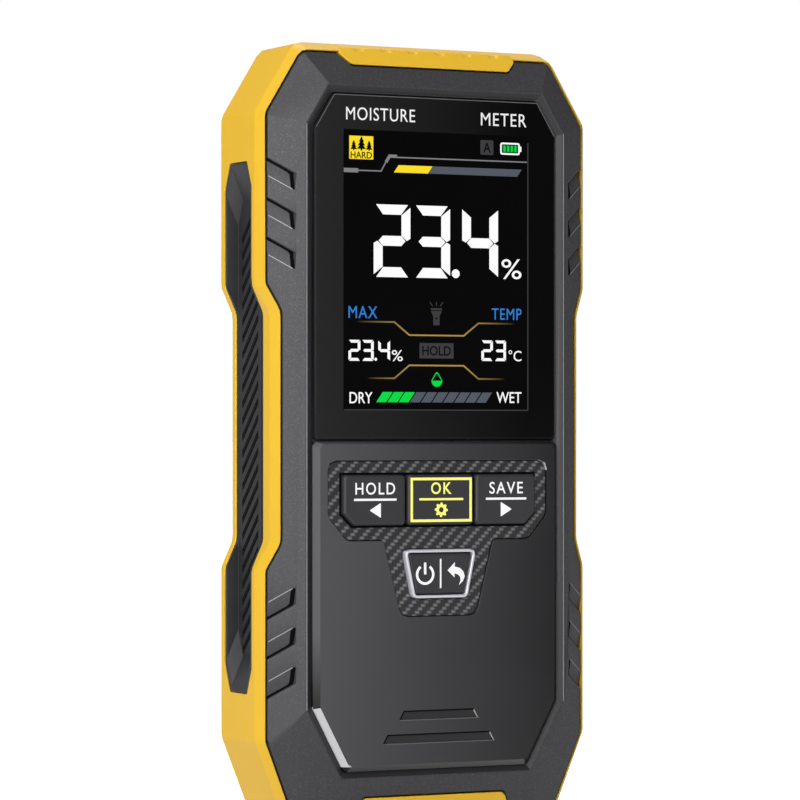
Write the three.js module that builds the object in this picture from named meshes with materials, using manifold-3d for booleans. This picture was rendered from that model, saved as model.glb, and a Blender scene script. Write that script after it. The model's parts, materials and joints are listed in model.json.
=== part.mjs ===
// A handheld pinless moisture meter for timber floors.
// Millimetres, +Z up, the front faces -Y and +X is to the right of someone reading the display.
// The origin is on the bottom face, in the middle of the meter's width and depth.
import * as THREE from "three";
import { mergeVertices } from "three/addons/utils/BufferGeometryUtils.js";
import Module from "manifold-3d";

const wasm = await Module();
wasm.setup();

// ---- Driving dimensions ----

const width = 64.8;
const depth = 26.8;
const height = 141;

// The outline of the case, seen from the front.
const topChamfer = { across: 7.7, down: 12.6 };
const bottomChamfer = { across: 7.5, up: 18.8 };
const waist = { inset: 2.2, slope: 4.8, fromTop: 42.7, fromBottom: 48.9 };
const cornerRadius = 3;
const cornerSteps = 2;

// The raised ridge round the front, and the slope that falls from it to the frame.
const ridge = { side: 6.8, top: 7.6, bottom: 12.1 };
const ridgeTopCorner = { across: 4.4, down: 7.2 };
const ridgeBottomCorner = { across: 6.6, up: 12.4 };
const slopeFall = 3.85;
const channel = { ridgeLand: 0.3, width: 1.1, drop: 0.65 };

// Walls, gaps and the layers from front to back, measured behind the window's face.
const keyProud = 1.6;
const wall = 1.8;
const gap = 0.3;
const closeGap = 0.15;
const layer = {
  ridge: -0.1,
  webBack: 3.4,
  flangeBack: 6.4,
  frameBack: 20.9,
  coverBack: 24.2,
};
const gasketThickness = 0.6;
const rim = { width: 1.2, topWidth: 2, proud: 0.3, land: 0.2, bevel: 2 };
const core = { inset: 4.8, topInset: 3.4 };

// What the front carries.
const windowSize = { inset: 1.75, height: 60.3, thickness: 1, pocket: 1.6 };
const activeArea = { width: 36.72, height: 48.96, belowWindowTop: 6.2 };
const panel = { inset: 1.4, bevel: 1, proud: 0.75, back: 1, pocket: 1.2, topBevel: 0.4 };
const strips = [
  { top: 10.3, height: 1.5, half: 7.8 },
  { top: 6.2, height: 1.5, half: 11 },
];
const stripSink = 0.35;
const surround = { sunk: 0.3, thickness: 1.35 };
const keyRow = { below: 6.1, height: 8.8, half: 19, chamfer: 2.1, centreHalf: 6.5, spacing: 0.45 };
const keyBevel = 0.35;
const keyFlange = { lip: 0.65, thickness: 0.8 };
const powerKey = { below: 19.2, height: 8.6, topHalf: 7.2, bottomHalf: 5.4, radius: 1 };
const powerRing = { width: 0.55, proud: 1.45 };
const postRadius = 1.6;

// Grip trays let into the sides of the frame.
const grip = { front: 7.9, back: 19, bottom: 27.1, top: 21.1, endRun: 4.6, endHalf: 3.5 };
const gripTray = { floor: 1.2, side: 0.6, endSlope: 5.6 };
const gripSlot = { pitch: 2.9, width: 0.75, depth: 0.5, run: 6 };

// Louvres on the front slopes, in two groups of three on each side.
const louvre = { across: 4.1, fall: 2.8, height: 3, pitch: 6.85, sink: 0.75, count: 3 };
const louvreTop = 20.7;
const louvreBottom = 26.4;

// Tabs of the frame that lap over the front at the top and the bottom.
const topTab = { half: 15.5, flare: 1.9, drop: 4, thickness: 1.1 };
const bottomTab = { half: 13.9, flare: 3.4, rise: 8.7, thickness: 1.1 };
const notch = { pitch: 5.35, width: 1.7, height: 1.5, depth: 0.45, count: 6 };

// Inside.
const board = { clear: 0.6, topClear: 1.7, front: 8.4, thickness: 1.6 };
const bossRadius = 2.1;
const coverPostRadius = 3.4;
const caseScrew = { shank: 0.9, hole: 1.05, head: 2.2, headHeight: 1.6, sink: 2.6 };
const boardScrew = { shank: 0.7, hole: 0.85, head: 1.5, headHeight: 0.9, length: 4.4 };
const displayGlass = { margin: 2.2, bottomMargin: 5.4, thickness: 1.4 };
const backlight = { thickness: 1.6, inset: 0.8 };
const keySwitch = { half: 3, height: 1.7, plunger: 1.2, plungerProud: 0.7, plungerLength: 1.3 };
const usb = { width: 9, height: 3.2, length: 7.4, x: 7.6 };
const torch = { x: -7.6, radius: 2.6, flange: 3.3, flangeThickness: 1, offBoard: 2 };
const portCover = { width: 13, ahead: 3.1, back: 3.9, thickness: 1, sunk: 0.1, nose: 1.7 };
const battery = { width: 36, height: 43, thickness: 5.6, bottom: 24.2 };
const sensorPad = { width: 36, height: 44, proud: 1, belowTop: 12, radius: 4, seat: 0.7 };
const sensorBoard = { inset: 2, thickness: 1.2 };
const foot = { width: 12, height: 5, x: 12, bottom: 7.5, seat: 0.8, radius: 1.5 };
const label = { width: 30, height: 15, bottom: 28, seat: 0.5, thickness: 0.3 };

// ---- Places that follow from the sizes ----

const windowFace = -depth / 2 + keyProud;
const behind = (distance) => windowFace + distance;
const ridgeHalf = width / 2 - ridge.side;
const ridgeTop = height - ridge.top;
const windowTop = ridgeTop - windowSize.inset;
const windowBottom = windowTop - windowSize.height;
const activeTop = windowTop - activeArea.belowWindowTop;
const activeBottom = activeTop - activeArea.height;
const panelBottom = ridge.bottom + panel.inset;
const keyTop = windowBottom - keyRow.below;
const keyBottom = keyTop - keyRow.height;
const powerTop = windowBottom - powerKey.below;
const powerBottom = powerTop - powerKey.height;
const boardBack = board.front + board.thickness;
const onBoard = boardBack + 0.1;
const usbMiddle = onBoard + usb.height / 2;
const torchBehind = boardBack + torch.offBoard;
const bossBack = onBoard + usb.height + 0.4;
const shellBack = bossBack + wall;

// ---- Materials ----

const finish = (color, roughness, metalness = 0) =>
  new THREE.MeshStandardMaterial({ color, roughness, metalness });
const yellowPlastic = finish("#f2b92c", 0.45);
const shellPlastic = finish("#3a3a40", 0.62);
const satinPlastic = finish("#35353b", 0.4);
const gripRubber = finish("#26262a", 0.7);
const keyRubber = finish("#303036", 0.5);
const carbonWeave = finish("#232327", 0.4);
const plating = finish("#d7d9e2", 0.22, 1);
const darkGlass = finish("#07070a", 0.08);
const clearPlastic = finish("#dfe6ea", 0.15);
const circuitGreen = finish("#1c5a34", 0.55);
const steel = finish("#9a9ca2", 0.35, 1);
const foilSilver = finish("#b9bcc2", 0.4, 0.8);
const componentBlack = finish("#18181a", 0.6);
const copperFilm = finish("#b5702e", 0.5, 0.3);

// ---- Solids ----

// A closed geometry as a solid, with only its positions kept.
function solid(geometry) {
  const bare = geometry.clone();
  bare.deleteAttribute("normal");
  bare.deleteAttribute("uv");
  const merged = mergeVertices(bare, 1e-4);
  return new wasm.Manifold(
    new wasm.Mesh({
      numProp: 3,
      vertProperties: new Float32Array(merged.attributes.position.array),
      triVerts: new Uint32Array(merged.index.array),
    }),
  );
}

function geometryOf(body) {
  const mesh = body.getMesh();
  const stride = mesh.numProp;
  const positions = new Float32Array(mesh.numVert * 3);
  for (let i = 0; i < mesh.numVert; i++)
    positions.set(mesh.vertProperties.subarray(i * stride, i * stride + 3), i * 3);
  const geometry = new THREE.BufferGeometry();
  geometry.setAttribute("position", new THREE.BufferAttribute(positions, 3));
  geometry.setIndex(new THREE.BufferAttribute(new Uint32Array(mesh.triVerts), 1));
  geometry.computeVertexNormals();
  return geometry;
}

// Rings of the same number of points, joined one to the next.
// An open row of rings gets a cap at each end; a looped row closes on itself.
function loft(rings, looped = false) {
  const count = rings[0].length;
  const positions = rings.flat().flatMap((p) => [p.x, p.y, p.z]);
  const triangles = [];
  const last = looped ? rings.length : rings.length - 1;
  for (let r = 0; r < last; r++) {
    const here = r * count;
    const next = ((r + 1) % rings.length) * count;
    for (let i = 0; i < count; i++) {
      const j = (i + 1) % count;
      triangles.push(here + i, here + j, next + j, here + i, next + j, next + i);
    }
  }
  if (!looped) {
    const flat = rings[0].map((p) => new THREE.Vector2(p.x, p.z));
    const top = (rings.length - 1) * count;
    for (const [a, b, c] of THREE.ShapeUtils.triangulateShape(flat, [])) {
      const sameTurn = turnsClockwise([flat[a], flat[b], flat[c]]) === turnsClockwise(flat);
      const [second, third] = sameTurn ? [b, c] : [c, b];
      triangles.push(a, third, second, top + a, top + second, top + third);
    }
  }
  const geometry = new THREE.BufferGeometry();
  geometry.setAttribute("position", new THREE.Float32BufferAttribute(positions, 3));
  geometry.setIndex(triangles);
  if (volumeOf(positions, triangles) < 0) {
    for (let i = 0; i < triangles.length; i += 3)
      [triangles[i + 1], triangles[i + 2]] = [triangles[i + 2], triangles[i + 1]];
    geometry.setIndex(triangles);
  }
  return solid(geometry);
}

const turnsClockwise = (outline) => THREE.ShapeUtils.isClockWise(outline);

function volumeOf(positions, triangles) {
  const at = (i) => new THREE.Vector3().fromArray(positions, i * 3);
  let sum = 0;
  for (let i = 0; i < triangles.length; i += 3)
    sum += at(triangles[i]).dot(at(triangles[i + 1]).cross(at(triangles[i + 2])));
  return sum;
}

// A flat outline, drawn in X and Z, as a ring at one depth or at a depth given by place.
const ring = (outline, y) =>
  outline.map((p) => new THREE.Vector3(p.x, typeof y === "number" ? y : y(p.x, p.y), p.y));

const prism = (outline, front, back) => loft([ring(outline, front), ring(outline, back)]);

const rectangle = (x0, x1, z0, z1) => [
  new THREE.Vector2(x0, z0),
  new THREE.Vector2(x1, z0),
  new THREE.Vector2(x1, z1),
  new THREE.Vector2(x0, z1),
];

function box(x0, x1, y0, y1, z0, z1) {
  const geometry = new THREE.BoxGeometry(x1 - x0, y1 - y0, z1 - z0);
  return solid(geometry.translate((x0 + x1) / 2, (y0 + y1) / 2, (z0 + z1) / 2));
}

// A round bar along Y or along Z.
function barAlongY(x, z, radius, front, back, sides = 16) {
  const geometry = new THREE.CylinderGeometry(radius, radius, back - front, sides);
  return solid(geometry.translate(x, (front + back) / 2, z));
}

function barAlongZ(x, y, radius, bottom, top, sides = 20) {
  const geometry = new THREE.CylinderGeometry(radius, radius, top - bottom, sides);
  return solid(geometry.rotateX(Math.PI / 2).translate(x, y, (bottom + top) / 2));
}

const union = (...bodies) => bodies.reduce((sum, body) => sum.add(body));
const cut = (body, ...tools) => tools.reduce((rest, tool) => rest.subtract(tool), body);

// Everything on the far side of a plane from the side that its normal points to.
function halfSpace(point, normal) {
  const reach = 4 * (width + height);
  const geometry = new THREE.BoxGeometry(reach, reach, reach).translate(0, 0, -reach / 2);
  const turn = new THREE.Quaternion().setFromUnitVectors(
    new THREE.Vector3(0, 0, 1),
    normal.clone().normalize(),
  );
  return solid(geometry.applyQuaternion(turn).translate(point.x, point.y, point.z));
}

// ---- Outlines ----

// Moves each edge of a polygon inwards by its own distance. The corners run anticlockwise.
function insetPolygon(corners, distanceOf) {
  const count = corners.length;
  const edges = corners.map((from, i) => {
    const to = corners[(i + 1) % count];
    const along = to.clone().sub(from).normalize();
    const inwards = new THREE.Vector2(-along.y, along.x);
    const distance = typeof distanceOf === "number" ? distanceOf : distanceOf(from, to);
    return { through: from.clone().addScaledVector(inwards, distance), along };
  });
  return edges.map((edge, i) => {
    const before = edges[(i + count - 1) % count];
    const across = before.along.cross(edge.along);
    const step = edge.through.clone().sub(before.through).cross(edge.along) / across;
    return before.through.clone().addScaledVector(before.along, step);
  });
}

// Rounds each corner with the same number of steps, so that insets of an outline match point for point.
function roundCorners(corners, radiusOf, steps = cornerSteps) {
  return corners.flatMap((corner, i) => {
    const before = corners[(i + corners.length - 1) % corners.length];
    const after = corners[(i + 1) % corners.length];
    const back = before.clone().sub(corner);
    const ahead = after.clone().sub(corner);
    const turn = Math.PI - Math.abs(back.angleTo(ahead));
    const outward = back.cross(ahead) < 0;
    const wanted = (typeof radiusOf === "number" ? radiusOf : radiusOf(outward)) * Math.tan(turn / 2);
    const reach = Math.min(wanted, 0.45 * back.length(), 0.45 * ahead.length());
    const start = corner.clone().addScaledVector(back.normalize(), reach);
    const end = corner.clone().addScaledVector(ahead.normalize(), reach);
    return new THREE.QuadraticBezierCurve(start, corner, end).getPoints(steps);
  });
}

const mirrored = (rightHalf) => [
  ...rightHalf,
  ...rightHalf.map((p) => new THREE.Vector2(-p.x, p.y)).reverse(),
];

function caseCorners(waisted) {
  const side = width / 2;
  const nipped = side - waist.inset;
  const low = waist.fromBottom;
  const high = height - waist.fromTop;
  return mirrored([
    new THREE.Vector2(side - bottomChamfer.across, 0),
    new THREE.Vector2(side, bottomChamfer.up),
    ...(waisted
      ? [
          new THREE.Vector2(side, low),
          new THREE.Vector2(nipped, low + waist.slope),
          new THREE.Vector2(nipped, high - waist.slope),
          new THREE.Vector2(side, high),
        ]
      : []),
    new THREE.Vector2(side, height - topChamfer.down),
    new THREE.Vector2(side - topChamfer.across, height),
  ]);
}

// The case's outline, drawn in by a distance, which can differ along the top edge.
function caseOutline(inset, topInset = inset, waisted = true) {
  const isTop = (from, to) => from.y > height - 0.01 && to.y > height - 0.01;
  const corners = insetPolygon(caseCorners(waisted), (from, to) => (isTop(from, to) ? topInset : inset));
  return roundCorners(corners, (outward) =>
    outward ? Math.max(cornerRadius - inset, 0.4) : cornerRadius + inset,
  );
}

const coreOutline = (extra) => caseOutline(core.inset + extra, core.topInset + extra, false);

function ridgeCorners() {
  return mirrored([
    new THREE.Vector2(ridgeHalf - ridgeBottomCorner.across, ridge.bottom),
    new THREE.Vector2(ridgeHalf, ridge.bottom + ridgeBottomCorner.up),
    new THREE.Vector2(ridgeHalf, ridgeTop - ridgeTopCorner.down),
    new THREE.Vector2(ridgeHalf - ridgeTopCorner.across, ridgeTop),
  ]);
}

const ridgeOutline = (inset, radius = 0.8) => roundCorners(insetPolygon(ridgeCorners(), inset), radius);

// The part of the ridge's outline that a level line at the window's bottom edge leaves above it.
function windowOutline(grow) {
  const upper = insetPolygon(ridgeCorners(), windowSize.inset - grow).slice(2, 6);
  const half = upper[0].x;
  const bottom = windowBottom - grow;
  return roundCorners(
    [new THREE.Vector2(half, bottom), ...upper, new THREE.Vector2(-half, bottom)],
    0.5,
    1,
  );
}

// The part of it that the same line leaves below.
function panelOutline(inset, topInset) {
  const all = insetPolygon(ridgeCorners(), panel.inset + inset);
  const [lowRight, right, , , , , left, lowLeft] = all;
  const top = windowBottom - gap - topInset;
  return roundCorners(
    [lowRight, right, new THREE.Vector2(right.x, top), new THREE.Vector2(left.x, top), left, lowLeft],
    0.7,
    1,
  );
}

function surroundOutline(grow) {
  const half = keyRow.half + 2.6;
  const top = keyTop + 2.4;
  const bottom = keyBottom - 2.6;
  const neckTop = powerKey.topHalf + 3.6;
  const neckBottom = powerKey.bottomHalf + 2;
  const corners = mirrored([
    new THREE.Vector2(neckBottom, powerBottom - 3.1),
    new THREE.Vector2(neckTop, bottom),
    new THREE.Vector2(half - 3.6, bottom),
    new THREE.Vector2(half, bottom + 4.2),
    new THREE.Vector2(half, top),
  ]);
  return roundCorners(insetPolygon(corners, -grow), (outward) => (outward ? 1.8 : 0.6));
}

// The three keys of the row share one outline, which two gaps divide.
function keyRowOutline(grow) {
  const half = keyRow.half;
  const corners = mirrored([
    new THREE.Vector2(half - keyRow.chamfer, keyBottom),
    new THREE.Vector2(half, keyBottom + keyRow.chamfer),
    new THREE.Vector2(half, keyTop),
  ]);
  return roundCorners(insetPolygon(corners, -grow), 0.5, 1);
}

function powerOutline(grow) {
  const corners = mirrored([
    new THREE.Vector2(powerKey.bottomHalf, powerBottom),
    new THREE.Vector2(powerKey.topHalf, powerTop),
  ]);
  return roundCorners(insetPolygon(corners, -grow), Math.max(powerKey.radius + grow, 0.3));
}

const plate = (centreX, bottom, plateWidth, plateHeight, radius) =>
  roundCorners(
    rectangle(centreX - plateWidth / 2, centreX + plateWidth / 2, bottom, bottom + plateHeight),
    radius,
    3,
  );

// ---- The sloping front ----

// Each side of the ridge carries one sloping plane, which meets the frame at the same depth.
const outerHalf = width / 2 - rim.width;
const slopes = ridgeCorners().map((from, i, corners) => {
  const to = corners[(i + 1) % corners.length];
  const along = to.clone().sub(from).normalize();
  const outwards = new THREE.Vector2(along.y, -along.x);
  const runs = {
    side: outerHalf - ridgeHalf,
    top: ridge.top - rim.topWidth,
    bottom: ridge.bottom - rim.width,
    lowCorner: ridge.side + 1.5,
  };
  let run = runs.side;
  if (outwards.y > 0.99) run = runs.top;
  else if (outwards.y < -0.99) run = runs.bottom;
  else if (outwards.y < -0.1) run = runs.lowCorner;
  return { through: from, outwards, rate: slopeFall / run };
});
const topSlope = slopes.find((s) => s.outwards.y > 0.99);
const bottomSlope = slopes.find((s) => s.outwards.y < -0.99);

const fallAt = (slope, x, z) => {
  const out = new THREE.Vector2(x, z).sub(slope.through).dot(slope.outwards);
  return behind(layer.ridge) + slope.rate * out;
};
const frontAt = (x, z) => Math.max(behind(layer.ridge), ...slopes.map((s) => fallAt(s, x, z)));

// Everything behind one slope, moved back by a distance.
function behindSlope(slope, back) {
  const point = new THREE.Vector3(slope.through.x, behind(layer.ridge) + back, slope.through.y);
  const normal = new THREE.Vector3(slope.outwards.x * slope.rate, -1, slope.outwards.y * slope.rate);
  return halfSpace(point, normal);
}

// ---- Screws and posts ----

const caseScrews = [
  { name: "case_screw_top_left", x: -15, z: height - 9.4 },
  { name: "case_screw_top_right", x: 15, z: height - 9.4 },
  { name: "case_screw_middle_left", x: 2.6 - ridgeHalf, z: windowBottom - 3 },
  { name: "case_screw_middle_right", x: ridgeHalf - 2.6, z: windowBottom - 3 },
  { name: "case_screw_bottom_left", x: -17, z: 19 },
  { name: "case_screw_bottom_right", x: 17, z: 19 },
];
const boardScrews = [
  { name: "board_screw_top_left", x: 3 - ridgeHalf, z: activeTop - 22 },
  { name: "board_screw_top_right", x: ridgeHalf - 3, z: activeTop - 22 },
  { name: "board_screw_bottom_left", x: -19.5, z: 34 },
  { name: "board_screw_bottom_right", x: 19.5, z: 34 },
];

// ---- Front shell ----

function louvreTool(side, group, index) {
  const up = group === "top" ? 1 : -1;
  const edge =
    group === "top" ? height - louvreTop - index * louvre.pitch : louvreBottom + index * louvre.pitch;
  const outer = width / 2;
  const inner = outerHalf - louvre.across;
  const rate = louvre.fall / louvre.across;
  const corner = (x, down, sink) => {
    const z = edge - up * (down + rate * (outerHalf - x));
    return new THREE.Vector3(side * x, fallAt(sideSlope(side), side * x, z) + sink, z);
  };
  const floor = [
    corner(outer, 0, louvre.sink),
    corner(inner, 0, louvre.sink),
    corner(inner, louvre.height, 0),
    corner(outer, louvre.height, 0),
  ];
  const above = floor.map((p) => new THREE.Vector3(p.x, p.y - 3, p.z));
  return loft([above, floor]);
}

const sideSlope = (side) => slopes.find((s) => s.outwards.x * side > 0.99);

const louvreTools = [-1, 1].flatMap((side) =>
  ["top", "bottom"].flatMap((group) =>
    Array.from({ length: louvre.count }, (_, index) => louvreTool(side, group, index)),
  ),
);

function tabOutline(tab, grow) {
  const upper = tab === topTab;
  const lap = upper ? height - 0.9 : 0.9;
  const edge = upper ? height - tab.drop : tab.rise;
  const flareEnd = upper ? edge + tab.flare : edge - 2 * tab.flare;
  const reach = tab.half + tab.flare;
  const right = upper
    ? [new THREE.Vector2(tab.half, edge), new THREE.Vector2(reach, flareEnd), new THREE.Vector2(reach, lap)]
    : [new THREE.Vector2(reach, lap), new THREE.Vector2(reach, flareEnd), new THREE.Vector2(tab.half, edge)];
  return roundCorners(insetPolygon(mirrored(right), -grow), 0.7, 1);
}

// A slab of the frame's tab that lies along a slope of the front.
function tabSlab(tab, slope, grow, from, to) {
  const far = prism(tabOutline(tab, grow), behind(-5), behind(layer.flangeBack + 3));
  return cut(far.intersect(behindSlope(slope, from)), behindSlope(slope, to));
}

function frontShell() {
  const front = prism(
    caseOutline(rim.width, rim.topWidth),
    behind(layer.ridge),
    behind(layer.flangeBack),
  );
  const sloped = slopes.reduce((body, slope) => body.intersect(behindSlope(slope, 0)), front);
  const skirt = prism(coreOutline(0), behind(layer.flangeBack - 1), behind(shellBack));
  const cavity = prism(coreOutline(wall), behind(layer.webBack), behind(shellBack + 1));
  const fall = channel.drop / channel.width;
  const channelTool = loft([
    ring(ridgeOutline(channel.ridgeLand - 1 / fall), behind(layer.ridge - 1)),
    ring(ridgeOutline(channel.ridgeLand + channel.width), behind(layer.ridge + channel.drop)),
  ]);
  const windowPocket = prism(windowOutline(closeGap), behind(-2), behind(windowSize.pocket));
  const panelPocket = prism(panelOutline(-closeGap, -closeGap), behind(-2), behind(panel.pocket));
  const viewOpening = prism(
    rectangle(
      -activeArea.width / 2 - 0.6,
      activeArea.width / 2 + 0.6,
      activeBottom - 0.6,
      activeTop + 0.6,
    ),
    behind(0),
    behind(layer.webBack + 1),
  );
  const keyOpening = prism(keyRowOutline(gap), behind(0), behind(layer.webBack + 1));
  const powerOpening = prism(powerOutline(gap - powerRing.width), behind(0), behind(layer.webBack + 1));
  const body = union(
    cut(union(sloped, skirt), cavity, channelTool, windowPocket, panelPocket),
    ...caseScrews.map((s) =>
      barAlongY(s.x, s.z, bossRadius, behind(layer.webBack - 0.5), behind(bossBack)),
    ),
    ...boardScrews.map((s) =>
      barAlongY(s.x, s.z, postRadius, behind(layer.webBack - 0.5), behind(board.front - 0.1), 12),
    ),
  );
  return cut(
    body,
    viewOpening,
    keyOpening,
    powerOpening,
    ...louvreTools,
    tabSlab(topTab, topSlope, gap, -3, topTab.thickness + gap),
    tabSlab(bottomTab, bottomSlope, gap, -3, bottomTab.thickness + gap),
    ...caseScrews.map((s) => barAlongY(s.x, s.z, caseScrew.hole, behind(5), behind(bossBack + 1), 12)),
    ...boardScrews.map((s) =>
      barAlongY(s.x, s.z, boardScrew.hole, behind(5), behind(board.front + 1), 10),
    ),
    usbOpening(0.5),
    barAlongZ(torch.x, behind(torchBehind), torch.radius + gap, height - 12, height),
  );
}

const usbOpening = (grow) =>
  box(
    usb.x - usb.width / 2 - grow,
    usb.x + usb.width / 2 + grow,
    behind(onBoard - grow),
    behind(onBoard + usb.height + grow),
    height - core.topInset - wall - 1,
    height - 0.5,
  );

// ---- Frame, grips and rear cover ----

// The side opening for a grip, drawn with the depth across and Z up.
function gripOutline(grow, endGrow = grow) {
  const middle = behind((grip.front + grip.back) / 2);
  const half = (grip.back - grip.front) / 2 + grow;
  const endHalf = grip.endHalf + grow;
  const bottom = grip.bottom - endGrow;
  const top = height - grip.top + endGrow;
  return [
    [-endHalf, bottom],
    [endHalf, bottom],
    [half, bottom + grip.endRun],
    [half, top - grip.endRun],
    [endHalf, top],
    [-endHalf, top],
    [-half, top - grip.endRun],
    [-half, bottom + grip.endRun],
  ].map(([across, z]) => ({ y: middle + across, z }));
}

// A solid that runs along X between two such outlines.
const sideways = (side, levels) =>
  loft(levels.map(([x, outline]) => outline.map((p) => new THREE.Vector3(p.y, side * x, p.z)))).transform(
    turnSideways,
  );

// Swaps X and Y, for shapes that are drawn looking along X. The swap mirrors, which a solid allows.
const turnSideways = [0, 1, 0, 0, 1, 0, 0, 0, 0, 0, 1, 0, 0, 0, 0, 1];

const gripFloor = width / 2 - waist.inset - 0.2;

function bumperFrame() {
  const y = (extra) => (x, z) => frontAt(x, z) + extra;
  const inner = rim.width - gap;
  const topInner = rim.topWidth - gap;
  const sections = [
    [inner, topInner, y(rim.land - rim.proud)],
    [inner - rim.land, topInner - rim.land, y(-rim.proud)],
    [0, 0, y(rim.bevel)],
    [0, 0, behind(layer.frameBack - 0.35)],
    [0.35, 0.35, behind(layer.frameBack)],
    [wall, wall, behind(layer.frameBack)],
    [wall, wall + 0.4, behind(layer.flangeBack + gap)],
    [inner, topInner, behind(layer.flangeBack + gap)],
  ];
  const band = loft(
    sections.map(([inset, topInset, depthAt]) => ring(caseOutline(inset, topInset), depthAt)),
    true,
  );
  const grooves = Array.from({ length: notch.count }, (_, i) => {
    const x = (i - (notch.count - 1) / 2) * notch.pitch;
    const rectangleAtTop = rectangle(
      x - notch.width / 2,
      x + notch.width / 2,
      height - notch.height,
      height + 1,
    );
    const reach = prism(rectangleAtTop, behind(-5), behind(layer.flangeBack + 3));
    return cut(reach, behindSlope(topSlope, notch.depth - rim.proud));
  });
  const openings = [-1, 1].map((side) =>
    sideways(side, [
      [width / 2 + 1, gripOutline(closeGap)],
      [width / 2 - waist.inset - wall - 1, gripOutline(closeGap)],
    ]),
  );
  return cut(
    union(
      band,
      tabSlab(topTab, topSlope, 0, -rim.proud, topTab.thickness),
      tabSlab(bottomTab, bottomSlope, 0, -rim.proud, bottomTab.thickness),
    ),
    ...grooves,
    ...openings,
    box(
      usb.x - portCover.width / 2 - closeGap,
      usb.x + portCover.width / 2 + closeGap,
      behind(usbMiddle - portCover.ahead - closeGap),
      behind(usbMiddle + portCover.back + closeGap),
      height - portCover.sunk - portCover.thickness - closeGap,
      height + 1,
    ),
    usbOpening(0.5),
    barAlongZ(torch.x, behind(torchBehind), torch.radius + closeGap, height - 8, height + 1),
  );
}

// A black tray that lines the grip opening, with slanting slots in its floor.
function gripBody(side) {
  const under = gripFloor - gripTray.floor;
  const block = sideways(side, [
    [under, gripOutline(0)],
    [width / 2 + 1, gripOutline(0)],
  ]);
  const skin = prism(caseOutline(0.1), behind(0), behind(layer.frameBack));
  const pocket = sideways(side, [
    [gripFloor, gripOutline(-gripTray.side, -gripTray.side - gripTray.endSlope)],
    [width / 2, gripOutline(-gripTray.side, -gripTray.side)],
    [width / 2 + 2, gripOutline(-gripTray.side, -gripTray.side)],
  ]);
  const middle = behind((grip.front + grip.back) / 2);
  const first = grip.bottom + gripTray.endSlope + gripSlot.run / 2 + 1.5;
  const last = height - grip.top - gripTray.endSlope - gripSlot.run / 2 - 1.5;
  const count = Math.floor((last - first) / gripSlot.pitch) + 1;
  const start = (first + last - (count - 1) * gripSlot.pitch) / 2;
  const slots = Array.from({ length: count }, (_, i) => {
    const slot = new THREE.BoxGeometry(
      2 * gripSlot.depth,
      gripSlot.run * Math.SQRT2,
      gripSlot.width / Math.SQRT2,
    );
    slot.rotateX(-Math.PI / 4);
    return solid(slot.translate(side * gripFloor, middle, start + i * gripSlot.pitch));
  });
  return cut(block.intersect(skin), pocket, ...slots);
}

function rearCover() {
  const lip = layer.frameBack + gap;
  const tub = loft([
    ring(caseOutline(gap), behind(lip)),
    ring(caseOutline(gap + 1), behind(lip + 0.9)),
    ring(caseOutline(4.4), behind(layer.coverBack)),
  ]);
  const joint = shellBack + gasketThickness + 0.2;
  const skirt = prism(coreOutline(0), behind(joint), behind(lip + 0.5));
  const cavity = prism(coreOutline(wall), behind(joint - 1), behind(layer.coverBack - wall));
  const posts = caseScrews.map((s) =>
    barAlongY(s.x, s.z, coverPostRadius, behind(bossBack + gap), behind(layer.coverBack - 0.5)),
  );
  const inside = union(
    prism(coreOutline(wall + gap), behind(0), behind(joint + 0.1)),
    prism(coreOutline(0.1), behind(joint), behind(layer.coverBack)),
  );
  const headSeat = layer.coverBack - caseScrew.sink;
  return cut(
    union(cut(union(tub, skirt), cavity), union(...posts).intersect(inside)),
    ...caseScrews.flatMap((s) => [
      barAlongY(s.x, s.z, caseScrew.hole, behind(bossBack - 1), behind(layer.coverBack + 1), 12),
      barAlongY(s.x, s.z, caseScrew.head + gap, behind(headSeat), behind(layer.coverBack + 1)),
    ]),
    prism(sensorOutline(closeGap), behind(layer.coverBack - sensorPad.seat), behind(depth)),
    ...[-1, 1].map((side) =>
      prism(footOutline(side, closeGap), behind(layer.coverBack - foot.seat), behind(depth)),
    ),
    prism(labelOutline(closeGap), behind(layer.coverBack - label.seat), behind(depth)),
  );
}

const sensorOutline = (grow) =>
  plate(
    0,
    height - sensorPad.belowTop - sensorPad.height - grow,
    sensorPad.width + 2 * grow,
    sensorPad.height + 2 * grow,
    sensorPad.radius + grow,
  );

const footOutline = (side, grow) =>
  plate(side * foot.x, foot.bottom - grow, foot.width + 2 * grow, foot.height + 2 * grow, foot.radius);

const labelOutline = (grow) =>
  plate(0, label.bottom - grow, label.width + 2 * grow, label.height + 2 * grow, 1);

// A pad with its back edge bevelled.
function bevelledPad(outlineOf, front, back, bevel) {
  return loft([
    ring(outlineOf(0), behind(front)),
    ring(outlineOf(0), behind(back - bevel)),
    ring(outlineOf(-bevel), behind(back)),
  ]);
}

const caseGasket = () => {
  const from = behind(shellBack + 0.1);
  const to = behind(shellBack + 0.1 + gasketThickness);
  return cut(prism(coreOutline(0.3), from, to), prism(coreOutline(wall - 0.3), from - 1, to + 1));
};

// ---- Window, panel, surround and keys ----

const displayWindow = () =>
  loft([
    ring(windowOutline(-0.25), behind(0)),
    ring(windowOutline(0), behind(0.25)),
    ring(windowOutline(0), behind(windowSize.thickness)),
  ]);

function windowTape() {
  const from = behind(windowSize.thickness + 0.1);
  const to = behind(windowSize.pocket - 0.1);
  const clear = rectangle(
    -activeArea.width / 2 - 1,
    activeArea.width / 2 + 1,
    activeBottom - 1,
    activeTop + 1,
  );
  return cut(prism(windowOutline(-0.5), from, to), prism(clear, from - 1, to + 1));
}

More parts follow.
